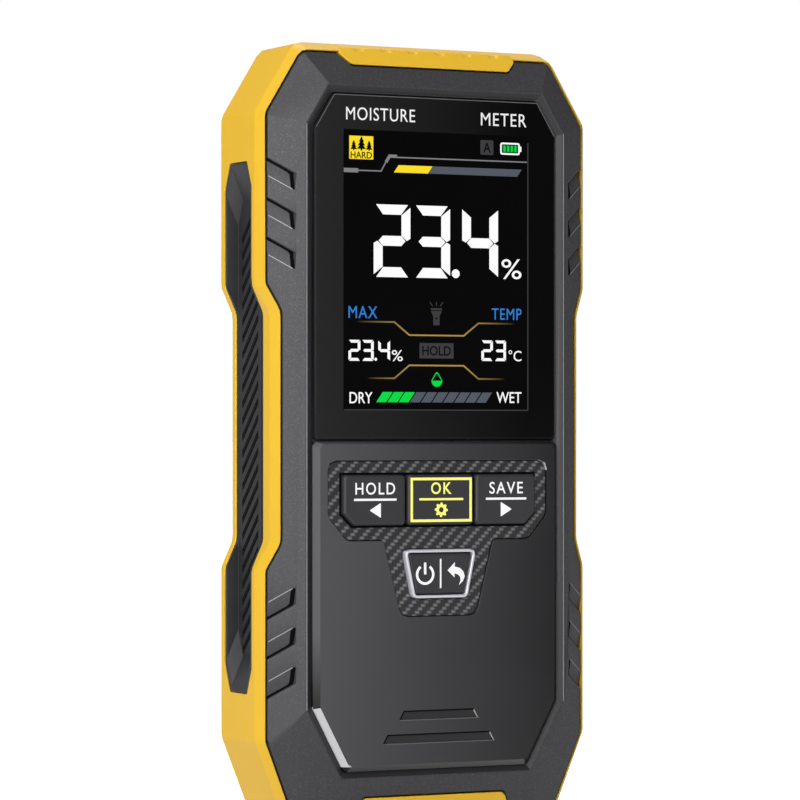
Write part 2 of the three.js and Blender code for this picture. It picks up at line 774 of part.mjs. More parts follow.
function lowerPanel() {
  const body = loft([
    ring(panelOutline(panel.bevel, panel.topBevel), behind(-panel.proud)),
    ring(panelOutline(0, 0), behind(panel.bevel - panel.proud)),
    ring(panelOutline(0, 0), behind(panel.back)),
  ]);
  const stripTools = strips.map(({ top, height: tall, half }) => {
    const upper = panelBottom + top;
    const corners = mirrored([
      new THREE.Vector2(half, upper - tall),
      new THREE.Vector2(half - 0.9, upper),
    ]);
    return prism(corners, behind(-panel.proud - 1), behind(stripSink - panel.proud));
  });
  return cut(body, prism(surroundOutline(0.12), behind(-3), behind(3)), ...stripTools);
}

function keySurround() {
  const front = surround.sunk - panel.proud;
  return cut(
    prism(surroundOutline(0), behind(front), behind(front + surround.thickness)),
    prism(keyRowOutline(closeGap), behind(-3), behind(3)),
    prism(powerOutline(closeGap), behind(-3), behind(3)),
  );
}

function powerKeyRing() {
  const back = surround.sunk - panel.proud + surround.thickness;
  const outer = loft([
    ring(powerOutline(-0.15), behind(-powerRing.proud)),
    ring(powerOutline(0), behind(0.2 - powerRing.proud)),
    ring(powerOutline(0), behind(back)),
  ]);
  return cut(outer, prism(powerOutline(-powerRing.width), behind(-3), behind(3)));
}

const plungerFront = board.front - 0.1 - keySwitch.height - keySwitch.plungerProud;

// A key's cap, the lips that hold it behind the shell's web, and the post that meets its switch.
function keyBody(outlineOf, face, lips, centre) {
  const flangeFront = layer.webBack + 0.2;
  const flangeBack = flangeFront + keyFlange.thickness;
  const cap = loft([
    ring(outlineOf(-keyBevel), behind(face)),
    ring(outlineOf(0), behind(face + keyBevel)),
    ring(outlineOf(0), behind(flangeBack)),
  ]);
  const post = barAlongY(
    centre.x,
    centre.z,
    postRadius,
    behind(flangeBack - 0.2),
    behind(plungerFront - 0.1),
    12,
  );
  return union(cap, prism(lips, behind(flangeFront), behind(flangeBack)), post);
}

const keyRowHalf = keyRow.centreHalf + keyRow.spacing;
const rowMiddle = (keyTop + keyBottom) / 2;

const rowKeys = [
  { name: "hold_key", from: -keyRow.half, to: -keyRowHalf, chamfered: -1 },
  { name: "ok_key", from: -keyRow.centreHalf, to: keyRow.centreHalf, chamfered: 0 },
  { name: "save_key", from: keyRowHalf, to: keyRow.half, chamfered: 1 },
].map((key) => ({ ...key, centre: { x: (key.from + key.to) / 2, z: rowMiddle } }));

function rowKeyOutline(key) {
  const { from, to, chamfered } = key;
  const lowLeft = chamfered < 0 ? keyRow.chamfer : 0;
  const lowRight = chamfered > 0 ? keyRow.chamfer : 0;
  const corners = [
    ...(lowLeft ? [[from, keyBottom + lowLeft]] : []),
    [from + lowLeft, keyBottom],
    [to - lowRight, keyBottom],
    ...(lowRight ? [[to, keyBottom + lowRight]] : []),
    [to, keyTop],
    [from, keyTop],
  ].map(([x, z]) => new THREE.Vector2(x, z));
  return (grow) => roundCorners(insetPolygon(corners, -grow), 0.4, 1);
}

function rowKey(key) {
  const shortLip = keyFlange.lip + gap;
  const lips = rectangle(
    key.from + keyRow.chamfer,
    key.to - keyRow.chamfer,
    keyBottom - shortLip,
    keyTop + shortLip,
  );
  return keyBody(rowKeyOutline(key), -keyProud, lips, key.centre);
}

const powerCentre = { x: 0, z: (powerTop + powerBottom) / 2 };

function powerKeyBody() {
  const inside = (grow) => powerOutline(grow - powerRing.width - closeGap);
  const lips = rectangle(-3.4, 3.4, powerBottom - gap, powerTop + gap);
  return keyBody(inside, -powerRing.proud + 0.2, lips, powerCentre);
}

const switchPlaces = [
  ...rowKeys.map((key) => ({ name: key.name.replace("_key", ""), ...key.centre })),
  { name: "power", ...powerCentre },
];

function switchBody({ x, z }) {
  const back = board.front - 0.1;
  const front = back - keySwitch.height;
  const half = keySwitch.half;
  return cut(
    box(x - half, x + half, behind(front), behind(back), z - half, z + half),
    barAlongY(x, z, keySwitch.plunger + 0.1, behind(front - 1), behind(back - 0.3), 12),
  );
}

const switchPlunger = ({ x, z }) =>
  barAlongY(x, z, keySwitch.plunger, behind(plungerFront), behind(plungerFront + keySwitch.plungerLength), 12);

// ---- Inside ----

function mainBoard() {
  const sideInset = core.inset + wall + board.clear;
  const topInset = core.topInset + wall + board.topClear;
  const outline = caseOutline(sideInset, topInset, false);
  return cut(
    prism(outline, behind(board.front), behind(boardBack)),
    ...caseScrews.map((s) => barAlongY(s.x, s.z, bossRadius + 0.4, behind(board.front - 1), behind(12))),
    ...boardScrews.map((s) =>
      barAlongY(s.x, s.z, boardScrew.hole, behind(board.front - 1), behind(12), 10),
    ),
  );
}

const glassHalf = activeArea.width / 2 + displayGlass.margin;
const glassBottom = activeBottom - displayGlass.bottomMargin;
const glassTop = activeTop + displayGlass.margin;
const glassFront = layer.webBack + 0.2;
const lightFront = glassFront + displayGlass.thickness + 0.2;
const lightBack = lightFront + backlight.thickness;

const displayPanel = () =>
  box(
    -glassHalf,
    glassHalf,
    behind(glassFront),
    behind(glassFront + displayGlass.thickness),
    glassBottom,
    glassTop,
  );

const displayBacklight = () =>
  box(
    backlight.inset - glassHalf,
    glassHalf - backlight.inset,
    behind(lightFront),
    behind(lightBack),
    glassBottom + 3,
    glassTop - backlight.inset,
  );

// A flat ribbon that leaves the glass below the backlight and folds back behind it.
function displayRibbon() {
  const thickness = 0.3;
  const tail = lightBack + 0.5;
  const start = glassFront + displayGlass.thickness + 0.1;
  const bend = glassBottom + 0.6;
  const profile = [
    [start, bend + 1.8],
    [start, bend],
    [tail, bend],
    [tail, bend + 22],
    [tail - thickness, bend + 22],
    [tail - thickness, bend + thickness],
    [start + thickness, bend + thickness],
    [start + thickness, bend + 1.8],
  ].map(([y, z]) => ({ y: behind(y), z }));
  return sideways(1, [
    [-6, profile],
    [6, profile],
  ]);
}

const ribbonSocket = () =>
  box(-7, 7, behind(lightBack + 0.7), behind(board.front - 0.1), glassBottom + 14, glassBottom + 17);

const chip = (x, z, across, tall, thickness) =>
  box(
    x - across / 2,
    x + across / 2,
    behind(onBoard),
    behind(onBoard + thickness),
    z - tall / 2,
    z + tall / 2,
  );

const batteryFront = boardBack + 1.2;

function batteryCell() {
  const outline = plate(0, battery.bottom, battery.width, battery.height, 1.5);
  const slim = plate(0, battery.bottom + 0.8, battery.width - 1.6, battery.height - 1.6, 1.2);
  return loft([
    ring(slim, behind(batteryFront)),
    ring(outline, behind(batteryFront + 0.8)),
    ring(outline, behind(batteryFront + battery.thickness - 0.8)),
    ring(slim, behind(batteryFront + battery.thickness)),
  ]);
}

const batteryPad = () =>
  prism(
    plate(0, battery.bottom + 4, battery.width - 8, battery.height - 8, 1),
    behind(onBoard),
    behind(batteryFront - 0.1),
  );

// A USB-C socket is a hollow steel sleeve with a tongue inside, on a closed back wall.
function usbSocket() {
  const front = behind(onBoard);
  const top = height - core.topInset - wall - 0.3;
  const left = usb.x - usb.width / 2;
  const right = usb.x + usb.width / 2;
  const sleeve = cut(
    box(left, right, front, front + usb.height, top - usb.length, top),
    box(left + 0.35, right - 0.35, front + 0.35, front + usb.height - 0.35, top - usb.length + 1.2, top + 1),
  );
  const tongue = box(left + 1.3, right - 1.3, front + 1.3, front + 1.9, top - usb.length + 1, top - 0.8);
  return union(sleeve, tongue);
}

const torchBase = height - core.topInset - wall - 0.4;

const torchLed = () =>
  box(
    torch.x - 1.75,
    torch.x + 1.75,
    behind(torchBehind - 1.5),
    behind(torchBehind + 1.5),
    torchBase - 2.8,
    torchBase - 1.2,
  );

// A clear lens with a flange that stays inside the case.
function torchLens() {
  const profile = [
    [0, torchBase - torch.flangeThickness],
    [torch.flange, torchBase - torch.flangeThickness],
    [torch.flange, torchBase],
    [torch.radius, torchBase],
    [torch.radius, height - 0.6],
    [torch.radius - 0.4, height - 0.2],
    [0, height - 0.2],
  ].map(([r, z]) => new THREE.Vector2(r, z));
  const geometry = new THREE.LatheGeometry(profile, 20).rotateX(Math.PI / 2);
  return solid(geometry.translate(torch.x, behind(torchBehind), 0));
}

const sensorBoardBack = layer.coverBack - wall - 0.3;

const sensorBoardBody = () =>
  prism(
    sensorOutline(-sensorBoard.inset),
    behind(sensorBoardBack - sensorBoard.thickness),
    behind(sensorBoardBack),
  );

// Pin header that carries the sensor's signal from one board to the other.
function sensorLink() {
  const z = height - sensorPad.belowTop - 8;
  return box(
    -5,
    5,
    behind(onBoard),
    behind(sensorBoardBack - sensorBoard.thickness - 0.1),
    z - 1.25,
    z + 1.25,
  );
}

function portCoverBody() {
  const top = height - portCover.sunk;
  const under = top - portCover.thickness;
  const half = portCover.width / 2;
  const flap = box(
    usb.x - half,
    usb.x + half,
    behind(usbMiddle - portCover.ahead),
    behind(usbMiddle + portCover.back),
    under,
    top,
  );
    const noseRing = (x, y, z) =>
    rectangle(usb.x - x, usb.x + x, behind(usbMiddle - y), behind(usbMiddle + y)).map(
      (p) => new THREE.Vector3(p.x, p.y, z),
    );
  const nose = loftUp([noseRing(3.6, 0.8, under - portCover.nose), noseRing(4, 1.2, under + 0.2)]);
  return union(flap, nose);
}

// As loft, for rings that are stacked along Z.
const loftUp = (rings) =>
  loft(rings.map((points) => points.map((p) => new THREE.Vector3(p.x, p.z, p.y)))).transform([
    1, 0, 0, 0, 0, 0, 1, 0, 0, 1, 0, 0, 0, 0, 0, 1,
  ]);

// A pan-head screw along Y, its head towards the back, with a cross recess.
function screw(x, z, { shank, head, headHeight }, tip, seat) {
  const slot = 0.25 * head;
  const long = 0.6 * head;
  const face = seat + headHeight;
  const deep = face - 0.5 * headHeight;
  return cut(
    union(
      barAlongY(x, z, shank, behind(tip), behind(seat + 0.1), 10),
      barAlongY(x, z, head, behind(seat), behind(face), 16),
    ),
    box(x - slot / 2, x + slot / 2, behind(deep), behind(face + 1), z - long, z + long),
    box(x - long, x + long, behind(deep), behind(face + 1), z - slot / 2, z + slot / 2),
  );
}

const caseScrewSeat = layer.coverBack - caseScrew.sink + 0.1;
const boardScrewSeat = onBoard;

// ---- The assembly ----

const meter = new THREE.Group();

function add(name, body, material) {
  const mesh = new THREE.Mesh(geometryOf(body), material);
  mesh.name = name;
  meter.add(mesh);
}

add("front_shell", frontShell(), shellPlastic);
add("bumper_frame", bumperFrame(), yellowPlastic);
add("rear_cover", rearCover(), shellPlastic);
add("left_grip", gripBody(-1), gripRubber);
add("right_grip", gripBody(1), gripRubber);
add("case_gasket", caseGasket(), gripRubber);

add("display_window", displayWindow(), darkGlass);
add("window_tape", windowTape(), componentBlack);
add("lower_panel", lowerPanel(), satinPlastic);
add("key_surround", keySurround(), carbonWeave);
add("power_key_ring", powerKeyRing(), plating);

for (const key of rowKeys) add(key.name, rowKey(key), keyRubber);
add("power_key", powerKeyBody(), keyRubber);
for (const place of switchPlaces) {
  add(place.name + "_switch", switchBody(place), steel);
  add(place.name + "_switch_plunger", switchPlunger(place), componentBlack);
}

add("main_board", mainBoard(), circuitGreen);
add("display_panel", displayPanel(), darkGlass);
add("display_backlight", displayBacklight(), clearPlastic);
add("display_ribbon", displayRibbon(), copperFilm);
add("ribbon_socket", ribbonSocket(), componentBlack);
add("processor_chip", chip(-11, activeTop - 30, 9, 9, 1.2), componentBlack);
add("memory_chip", chip(4, activeTop - 26, 5, 6, 1), componentBlack);
add("charger_chip", chip(14, activeTop - 12, 4, 4, 0.9), componentBlack);
add("temperature_sensor", chip(19, activeTop - 34, 3, 1.6, 1.2), componentBlack);
add("battery_plug", chip(0, battery.bottom + battery.height + 3, 8, 4, 3), clearPlastic);
add("usb_socket", usbSocket(), steel);
add(
  "buzzer",
  barAlongY(-16, activeTop - 10, 4.5, behind(onBoard), behind(onBoard + 3), 20),
  componentBlack,
);
add("torch_led", torchLed(), clearPlastic);
add("torch_lens", torchLens(), clearPlastic);
add("battery_cell", batteryCell(), foilSilver);
add("battery_pad", batteryPad(), componentBlack);

add(
  "sensor_pad",
  bevelledPad(sensorOutline, layer.coverBack - sensorPad.seat + 0.1, layer.coverBack + sensorPad.proud, 0.6),
  satinPlastic,
);
add("sensor_board", sensorBoardBody(), circuitGreen);
add("sensor_link", sensorLink(), componentBlack);
for (const [name, side] of [["rear_foot_left", -1], ["rear_foot_right", 1]])
  add(
    name,
    bevelledPad(
      (grow) => footOutline(side, grow),
      layer.coverBack - foot.seat + 0.1,
      layer.coverBack + sensorPad.proud,
      0.5,
    ),
    gripRubber,
  );
add(
  "rear_label",
  prism(
    labelOutline(0),
    behind(layer.coverBack - label.seat + 0.1),
    behind(layer.coverBack - label.seat + 0.1 + label.thickness),
  ),
  foilSilver,
);
add("port_cover", portCoverBody(), gripRubber);

for (const { name, x, z } of caseScrews) add(name, screw(x, z, caseScrew, 6, caseScrewSeat), steel);
for (const { name, x, z } of boardScrews)
  add(name, screw(x, z, boardScrew, boardScrewSeat - boardScrew.length, boardScrewSeat), steel);

export default meter;
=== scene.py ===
"""The looks of a handheld pinless moisture meter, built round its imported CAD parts.

Metres, +Z up; the front faces -Y and +X is to the right of someone reading the display.
Sizes of small things are written in millimetres and multiplied by MM.
"""

import json
import math

import bmesh
import bpy
from mathutils import Matrix, Vector

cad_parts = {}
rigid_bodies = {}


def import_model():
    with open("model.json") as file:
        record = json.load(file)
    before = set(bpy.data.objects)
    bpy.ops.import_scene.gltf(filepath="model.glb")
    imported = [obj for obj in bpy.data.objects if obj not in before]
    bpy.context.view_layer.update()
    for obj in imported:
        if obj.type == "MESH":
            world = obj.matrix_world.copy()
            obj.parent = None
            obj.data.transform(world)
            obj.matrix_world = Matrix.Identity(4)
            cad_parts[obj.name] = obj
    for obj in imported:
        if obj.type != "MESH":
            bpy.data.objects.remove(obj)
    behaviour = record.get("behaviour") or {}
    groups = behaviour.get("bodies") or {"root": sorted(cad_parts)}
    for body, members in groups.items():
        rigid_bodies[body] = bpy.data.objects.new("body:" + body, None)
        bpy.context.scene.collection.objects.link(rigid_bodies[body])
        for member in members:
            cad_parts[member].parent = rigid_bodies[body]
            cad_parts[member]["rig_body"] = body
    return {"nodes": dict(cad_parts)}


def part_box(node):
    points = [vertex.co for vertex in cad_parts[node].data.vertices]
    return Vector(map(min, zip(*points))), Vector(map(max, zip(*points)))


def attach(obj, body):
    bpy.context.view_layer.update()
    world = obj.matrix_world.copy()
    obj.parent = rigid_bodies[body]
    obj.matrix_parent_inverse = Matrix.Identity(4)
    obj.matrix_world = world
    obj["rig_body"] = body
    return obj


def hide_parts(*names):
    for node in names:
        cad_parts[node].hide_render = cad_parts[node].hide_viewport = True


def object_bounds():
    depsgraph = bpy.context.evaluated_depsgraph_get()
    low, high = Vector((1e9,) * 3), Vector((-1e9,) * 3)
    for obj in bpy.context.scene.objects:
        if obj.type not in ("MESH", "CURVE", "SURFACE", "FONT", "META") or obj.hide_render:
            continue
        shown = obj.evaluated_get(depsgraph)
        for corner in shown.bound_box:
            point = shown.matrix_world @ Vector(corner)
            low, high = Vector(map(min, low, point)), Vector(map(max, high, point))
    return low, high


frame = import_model()
cad_box = [list(corner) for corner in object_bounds()]

# The record's slot of each node. The plain materials that came with the nodes aren't used.
slots = {}
for node, thing in frame["nodes"].items():
    slots[node] = thing.data.materials[0].name
    thing.data.materials.clear()
for plain in list(bpy.data.materials):
    bpy.data.materials.remove(plain)

MM = 0.001

# ---- Places taken from the frame ----

window_low, window_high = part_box("display_window")
surround_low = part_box("key_surround")[0]
pad_low, pad_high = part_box("sensor_pad")
label_low, label_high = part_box("rear_label")
meter_low, meter_high = (Vector(corner) for corner in cad_box)

GLASS_FACE = window_low.y
SCREEN_WIDTH = 36.72 * MM
SCREEN_HEIGHT = 48.96 * MM
SCREEN_LEFT = -SCREEN_WIDTH / 2
SCREEN_TOP = window_high.z - 6.2 * MM
KEY_ROW_BELOW_WINDOW = 6.1 * MM

# How far the floors of the side grips are from the middle.
GRIP_FLOOR = 30.0 * MM

# The display's cells, and the share of each that is the gap to the next.
CELL, CELL_GAP = 0.16 * MM, 0.12

# The lit marks and the printed ones are thin films that stand this much out of their surface.
FILM = 0.03 * MM
FILM_GAP = 0.004 * MM


# ---- Nodes ----


class Field:
    """A value that changes over a surface. Arithmetic on fields adds Math nodes."""

    def __init__(self, graph, socket):
        self.graph = graph
        self.socket = socket

    def math(self, operation, *values):
        return self.graph.node("ShaderNodeMath", {"operation": operation}, dict(enumerate(values)))

    def __add__(self, other):
        return self.math("ADD", self, other)

    def __radd__(self, other):
        return self.math("ADD", other, self)

    def __sub__(self, other):
        return self.math("SUBTRACT", self, other)

    def __rsub__(self, other):
        return self.math("SUBTRACT", other, self)

    def __mul__(self, other):
        return self.math("MULTIPLY", self, other)

    def __rmul__(self, other):
        return self.math("MULTIPLY", other, self)

    def __truediv__(self, other):
        return self.math("DIVIDE", self, other)

    def __mod__(self, other):
        return self.math("FLOORED_MODULO", self, other)

    def __lt__(self, other):
        return self.math("LESS_THAN", self, other)

    def __gt__(self, other):
        return self.math("GREATER_THAN", self, other)

    def floor(self):
        return self.math("FLOOR", self)

    def sine(self):
        return self.math("SINE", self)

    def absolute(self):
        return self.math("ABSOLUTE", self)

    def clamp(self):
        return self.graph.node("ShaderNodeClamp", {}, {0: self})

    def other(self, name):
        """Another output of the node that this field comes from."""
        return Field(self.graph, self.socket.node.outputs[name])


class Graph:
    """A node tree, with one method that adds any node."""

    def __init__(self, tree):
        self.tree = tree

    def node(self, kind, settings=None, inputs=None, output=0):
        made = self.tree.nodes.new(kind)
        for key, value in (settings or {}).items():
            setattr(made, key, value)
        for key, value in (inputs or {}).items():
            if isinstance(value, Field):
                self.tree.links.new(value.socket, made.inputs[key])
            else:
                made.inputs[key].default_value = value
        return Field(self, made.outputs[output]) if made.outputs else made


class Finish(Graph):
    """A material, with the patterns that the meter's finishes share."""

    def __init__(self, name):
        self.material = bpy.data.materials.new(name)
        self.material.use_nodes = True
        super().__init__(self.material.node_tree)
        self.tree.nodes.clear()
        self.place = self.node("ShaderNodeTexCoord", output="Object")

    def noise(self, size, detail=2.0, roughness=0.5):
        values = {"Vector": self.place, "Scale": 1 / size, "Detail": detail, "Roughness": roughness}
        return self.node("ShaderNodeTexNoise", {}, values)

    def specks(self, size, share):
        """1 on scattered specks of that size, which take up about that share of the surface."""
        values = {"Vector": self.place, "Scale": 1 / size, "Randomness": 1.0}
        cell = self.node("ShaderNodeTexVoronoi", {"feature": "F1"}, values, "Color")
        picked = self.node("ShaderNodeSeparateColor", {}, {0: cell})
        return picked < share

    def axes(self):
        parts = self.node("ShaderNodeSeparateXYZ", {}, {0: self.place})
        return parts, parts.other("Y"), parts.other("Z")

    def mix(self, share, first, second):
        """The colour first where share is 0 and second where it is 1."""
        rgba = [c if isinstance(c, Field) or len(c) == 4 else (*c, 1.0) for c in (first, second)]
        node = {"data_type": "RGBA", "blend_type": "MIX"}
        return self.node("ShaderNodeMix", node, {0: share, 6: rgba[0], 7: rgba[1]}, 2)

    def bump(self, height, depth, strength=1.0, under=None):
        values = {"Height": height, "Distance": depth, "Strength": strength}
        if under is not None:
            values["Normal"] = under
        return self.node("ShaderNodeBump", {}, values)

    def surface(self, colour, **values):
        """The closing shader. Values are named as its sockets are, with _ for a space."""
        sockets = {"Base Color": colour if isinstance(colour, Field) else (*colour, 1.0)}
        sockets.update({key.replace("_", " "): value for key, value in values.items()})
        shader = self.node("ShaderNodeBsdfPrincipled", {}, sockets)
        self.node("ShaderNodeOutputMaterial", {}, {"Surface": shader})
        return self.material


# ---- Finishes ----


def yellow_plastic():
    """Satin moulded plastic: a slow drift of tone, a fine spark-eroded grain and faint scuffs."""
    finish = Finish("yellow_plastic")
    drift = finish.noise(22 * MM, 2.0)
    grain = finish.noise(0.32 * MM, 3.0, 0.6)
    scuff = finish.noise(3.5 * MM, 5.0, 0.7)
    tone = (drift * 0.8 + grain * 0.2).clamp()
    colour = finish.mix(tone, (0.9, 0.525, 0.026), (0.98, 0.61, 0.042))
    roughness = 0.34 + grain * 0.08 + scuff * 0.06
    return finish.surface(
        colour,
        Roughness=roughness,
        Specular_IOR_Level=0.28,
        Normal=finish.bump(grain, 0.014 * MM, 0.6),
    )


def shell_plastic():
    """Charcoal plastic with a sparkle: pale specks over a fine grain."""
    finish = Finish("shell_plastic")
    grain = finish.noise(0.3 * MM, 3.0, 0.65)
    drift = finish.noise(18 * MM, 2.0)
    speck = finish.specks(0.13 * MM, 0.12)
    dark = finish.mix(drift, (0.032, 0.032, 0.037), (0.044, 0.044, 0.051))
    colour = finish.mix(speck * 0.35, dark, (0.12, 0.122, 0.135))
    return finish.surface(
        colour,
        Roughness=0.46 + grain * 0.14 - speck * 0.14,
        Specular_IOR_Level=0.6,
        Normal=finish.bump(grain + speck * 0.4, 0.03 * MM, 0.8),
    )


def panel_plastic():
    """The lower panel: satin with a silky grain, painted paler towards its upper left as painted
    light, and with a painted highlight on the bevels that run down to its foot."""
    finish = Finish("panel_plastic")
    across, _, up = finish.axes()
    grain = finish.noise(0.16 * MM, 2.0, 0.6)
    drift = finish.noise(26 * MM, 1.0)
    half = 24 * MM
    # Painted light: the face is paler to the left and darker to the right.
    lean = (0.5 - across / (2 * half) + (drift - 0.5) * 0.2).clamp()
    face = finish.mix(lean, (0.011, 0.011, 0.0125), (0.09, 0.09, 0.096))
    facing = finish.node("ShaderNodeNewGeometry", output="True Normal")
    parts = finish.node("ShaderNodeSeparateXYZ", {}, {0: facing})
    down, side = parts.other("Z"), parts
    bevel = parts.other("Y") > -0.95
    falls = down < -0.2
    # A bevel that faces both down and left gets a bright painted highlight, and the one to the
    # right black painted shade.
    painted_highlight_bevel = falls * (side < -0.15) * bevel
    painted_shade_bevel = falls * (side > 0.15) * bevel
    # Painted shade darkens the upright bevels towards their lower ends, and a painted highlight
    # makes the foot's paler to the right.
    upright = (1 - falls) * (side.absolute() > 0.15) * bevel
    shade = ((38 * MM - up) / (12 * MM)).clamp() * upright
    foot = falls * (side.absolute() < 0.15) * bevel
    colour = finish.mix(painted_highlight_bevel, face, (0.66, 0.66, 0.68))
    colour = finish.mix((painted_shade_bevel + shade).clamp(), colour, (0.002, 0.002, 0.002))
    colour = finish.mix(foot * (1 - lean), colour, (0.16, 0.16, 0.165))
    # Painted shade: the small facets that face down and sideways near the panel's foot are black.
    corner = falls * (side.absolute() > 0.15) * (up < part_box("lower_panel")[0].z + 0.95 * MM)
    colour = finish.mix(corner, colour, (0.002, 0.002, 0.002))
    return finish.surface(
        colour,
        Roughness=0.42 + grain * 0.1 - painted_highlight_bevel * 0.2,
        Specular_IOR_Level=0.35,
        Normal=finish.bump(grain, 0.008 * MM, 0.6),
    )


def grip_rubber():
    """Matt overmoulded rubber with a random dusty mottle; painted shade darkens the grips' sunken
    floors against the high spots.
    """
    finish = Finish("grip_rubber")
    grain = finish.noise(0.28 * MM, 4.0, 0.65)
    dust = finish.noise(6 * MM, 4.0, 0.6)
    across, _, _ = finish.axes()
    # Painted shade: the grips' sunken floors are darker than what stands out.
    clear_of_painted_shade = ((across.absolute() - GRIP_FLOOR) / (1.6 * MM)).clamp() * 0.75 + 0.25
    share = (dust * 1.4 - 0.3).clamp() * 0.4 + clear_of_painted_shade * 0.6
    colour = finish.mix(share, (0.006, 0.006, 0.007), (0.05, 0.05, 0.056))
    return finish.surface(
        colour,
        Roughness=0.5 + grain * 0.14,
        Specular_IOR_Level=0.5,
        Normal=finish.bump(grain, 0.02 * MM, 0.7),
    )


def carbon_weave():
    """A two-over-two twill of carbon tows, with painted sheen: those that run across are painted
    pale and the others dark.
    """
    finish = Finish("carbon_weave")
    tow = 0.6 * MM
    across, _, up = finish.axes()
    column, row = across / tow, up / tow
    step = (column.floor() - row.floor()) % 4.0
    over = step < 1.5
    # Where along its two-tow float a pale tow is, from 0 to 1, and how round it is across.
    along = ((column - row.floor()) % 4.0) / 2.0
    swell = (along * math.pi).sine().clamp()
    round_row = ((row % 1.0) * math.pi).sine()
    round_column = ((column % 1.0) * math.pi).sine()
    fibre = finish.noise(0.07 * MM)
    # Painted sheen and shading: the pale tows are brightest where they swell and shade off towards
    # their edges and ends.
    pale = over * swell * (0.35 + round_row * 0.65) * (0.75 + fibre * 0.5)
    dark = (1 - over) * round_column * 0.08
    colour = finish.mix((pale + dark).clamp(), (0.005, 0.005, 0.006), (0.2, 0.2, 0.21))
    height = over * swell * round_row + (1 - over) * round_column * 0.7
    return finish.surface(
        colour,
        Roughness=0.34 + (1 - over) * 0.12,
        Specular_IOR_Level=0.5,
        Coat_Weight=0.35,
        Coat_Roughness=0.18,
        Normal=finish.bump(height, 0.05 * MM, 0.6),
    )


def dark_glass():
    """The display window: glass printed black behind, with a faint smear of finger grease."""
    finish = Finish("dark_glass")
    smear = finish.noise(9 * MM, 4.0, 0.6)
    cloud = finish.noise(14 * MM, 2.0)
    across, _, _ = finish.axes()
    # Painted reflection: the glass is paler to the left and darker to the right.
    lean = (0.35 - across / (50 * MM) + (cloud - 0.5) * 0.15).clamp()
    colour = finish.mix(lean, (0.0006, 0.0006, 0.0006), (0.026, 0.026, 0.0263))
    return finish.surface(
        colour,
        Roughness=0.06 + smear * 0.08,
        Specular_IOR_Level=0.16,
    )


def cell_lines(finish):
    """1 in the gaps between the display's cells."""
    across, _, up = finish.axes()
    return (((across / CELL) % 1.0 < CELL_GAP) + ((up / CELL) % 1.0 < CELL_GAP)).clamp()


def shining(finish, glow):
    """Closes a finish that is black but for the light it gives."""
    return finish.surface(
        (0.002, 0.002, 0.002),
        Roughness=0.5,
        Specular_IOR_Level=0.05,
        Emission_Color=glow,
        Emission_Strength=1.0,
    )


def screen_black():
    """The unlit ground of the display, with the faint grid of its cells."""
    finish = Finish("screen_black")
    lines = cell_lines(finish)
    colour = finish.mix(lines, (0.0009, 0.0009, 0.001), (0.0016, 0.0016, 0.0018))
    cloud = finish.noise(5 * MM, 2.0)
    return finish.surface(colour, Roughness=0.3 + cloud * 0.1, Specular_IOR_Level=0.06)


def lit(name, colour):
    """Light from the display, a shade weaker between its cells."""
    finish = Finish(name)
    weaker = tuple(c * 0.94 for c in colour)
    return shining(finish, finish.mix(cell_lines(finish), colour, weaker))


def lit_fading(name, colour, centre, solid, fade):
    """A lit line that fades out past the solid half-length from its centre."""
    finish = Finish(name)
    across, _, _ = finish.axes()
    share = (((across - centre).absolute() - solid) / fade).clamp()
    return shining(finish, finish.mix(share, colour, (0.0, 0.0, 0.0)))


def ink(name, colour, glow=0.0):
    """Pad-printed ink, a little uneven in tone and gloss, and brightened by its glow, which is
    painted light.
    """
    finish = Finish(name)
    cloud = finish.noise(1.1 * MM, 3.0, 0.6)
    tone = finish.mix(cloud, tuple(c * 0.93 for c in colour), colour)
    return finish.surface(
        tone,
        Roughness=0.4 + cloud * 0.15,
        Specular_IOR_Level=0.4,
        Emission_Color=tone,
        Emission_Strength=glow,
        Normal=finish.bump(cloud, 0.004 * MM, 0.4),
    )


def clear_plastic():
    """Milky polycarbonate in front of the torch's emitter."""
    finish = Finish("clear_plastic")
    cloud = finish.noise(0.9 * MM, 3.0, 0.5)
    colour = finish.mix(cloud, (0.74, 0.77, 0.79), (0.86, 0.88, 0.89))
    return finish.surface(
        colour,
        Roughness=0.12 + cloud * 0.1,
        IOR=1.58,
        Transmission_Weight=0.35,
        Coat_Weight=0.5,
        Coat_Roughness=0.05,
    )


def circuit_board():
    """Green solder mask with the tracks showing through it as paler lines."""
    finish = Finish("circuit_board")
    across, _, up = finish.axes()
    warp = finish.noise(5 * MM, 1.0)
    wander = (warp * 6.0).floor() * 0.31
    runs = ((across / (0.9 * MM) + wander) % 1.0) < 0.3
    turns = ((up / (1.3 * MM) + wander) % 1.0) < 0.22
    patch = finish.noise(8 * MM, 1.0) > 0.5
    tracks = patch * runs + (1 - patch) * turns
    cloud = finish.noise(0.5 * MM, 3.0)
    colour = finish.mix(tracks, (0.004, 0.06, 0.022), (0.012, 0.14, 0.05))
    return finish.surface(
        colour,
        Roughness=0.28 + cloud * 0.12,
        Specular_IOR_Level=0.5,
        Normal=finish.bump(tracks, 0.035 * MM, 0.7),
    )


def steel():
    """Bright screw steel with a fine turned grain and dull spots."""
    finish = Finish("steel")
    grain = finish.noise(0.09 * MM, 2.0)
    spots = finish.noise(0.7 * MM, 4.0, 0.6)
    colour = finish.mix(spots, (0.42, 0.42, 0.44), (0.62, 0.62, 0.64))
    return finish.surface(
        colour,
        Metallic=1.0,
        Roughness=0.24 + spots * 0.22,
        Normal=finish.bump(grain, 0.006 * MM, 0.5),
    )


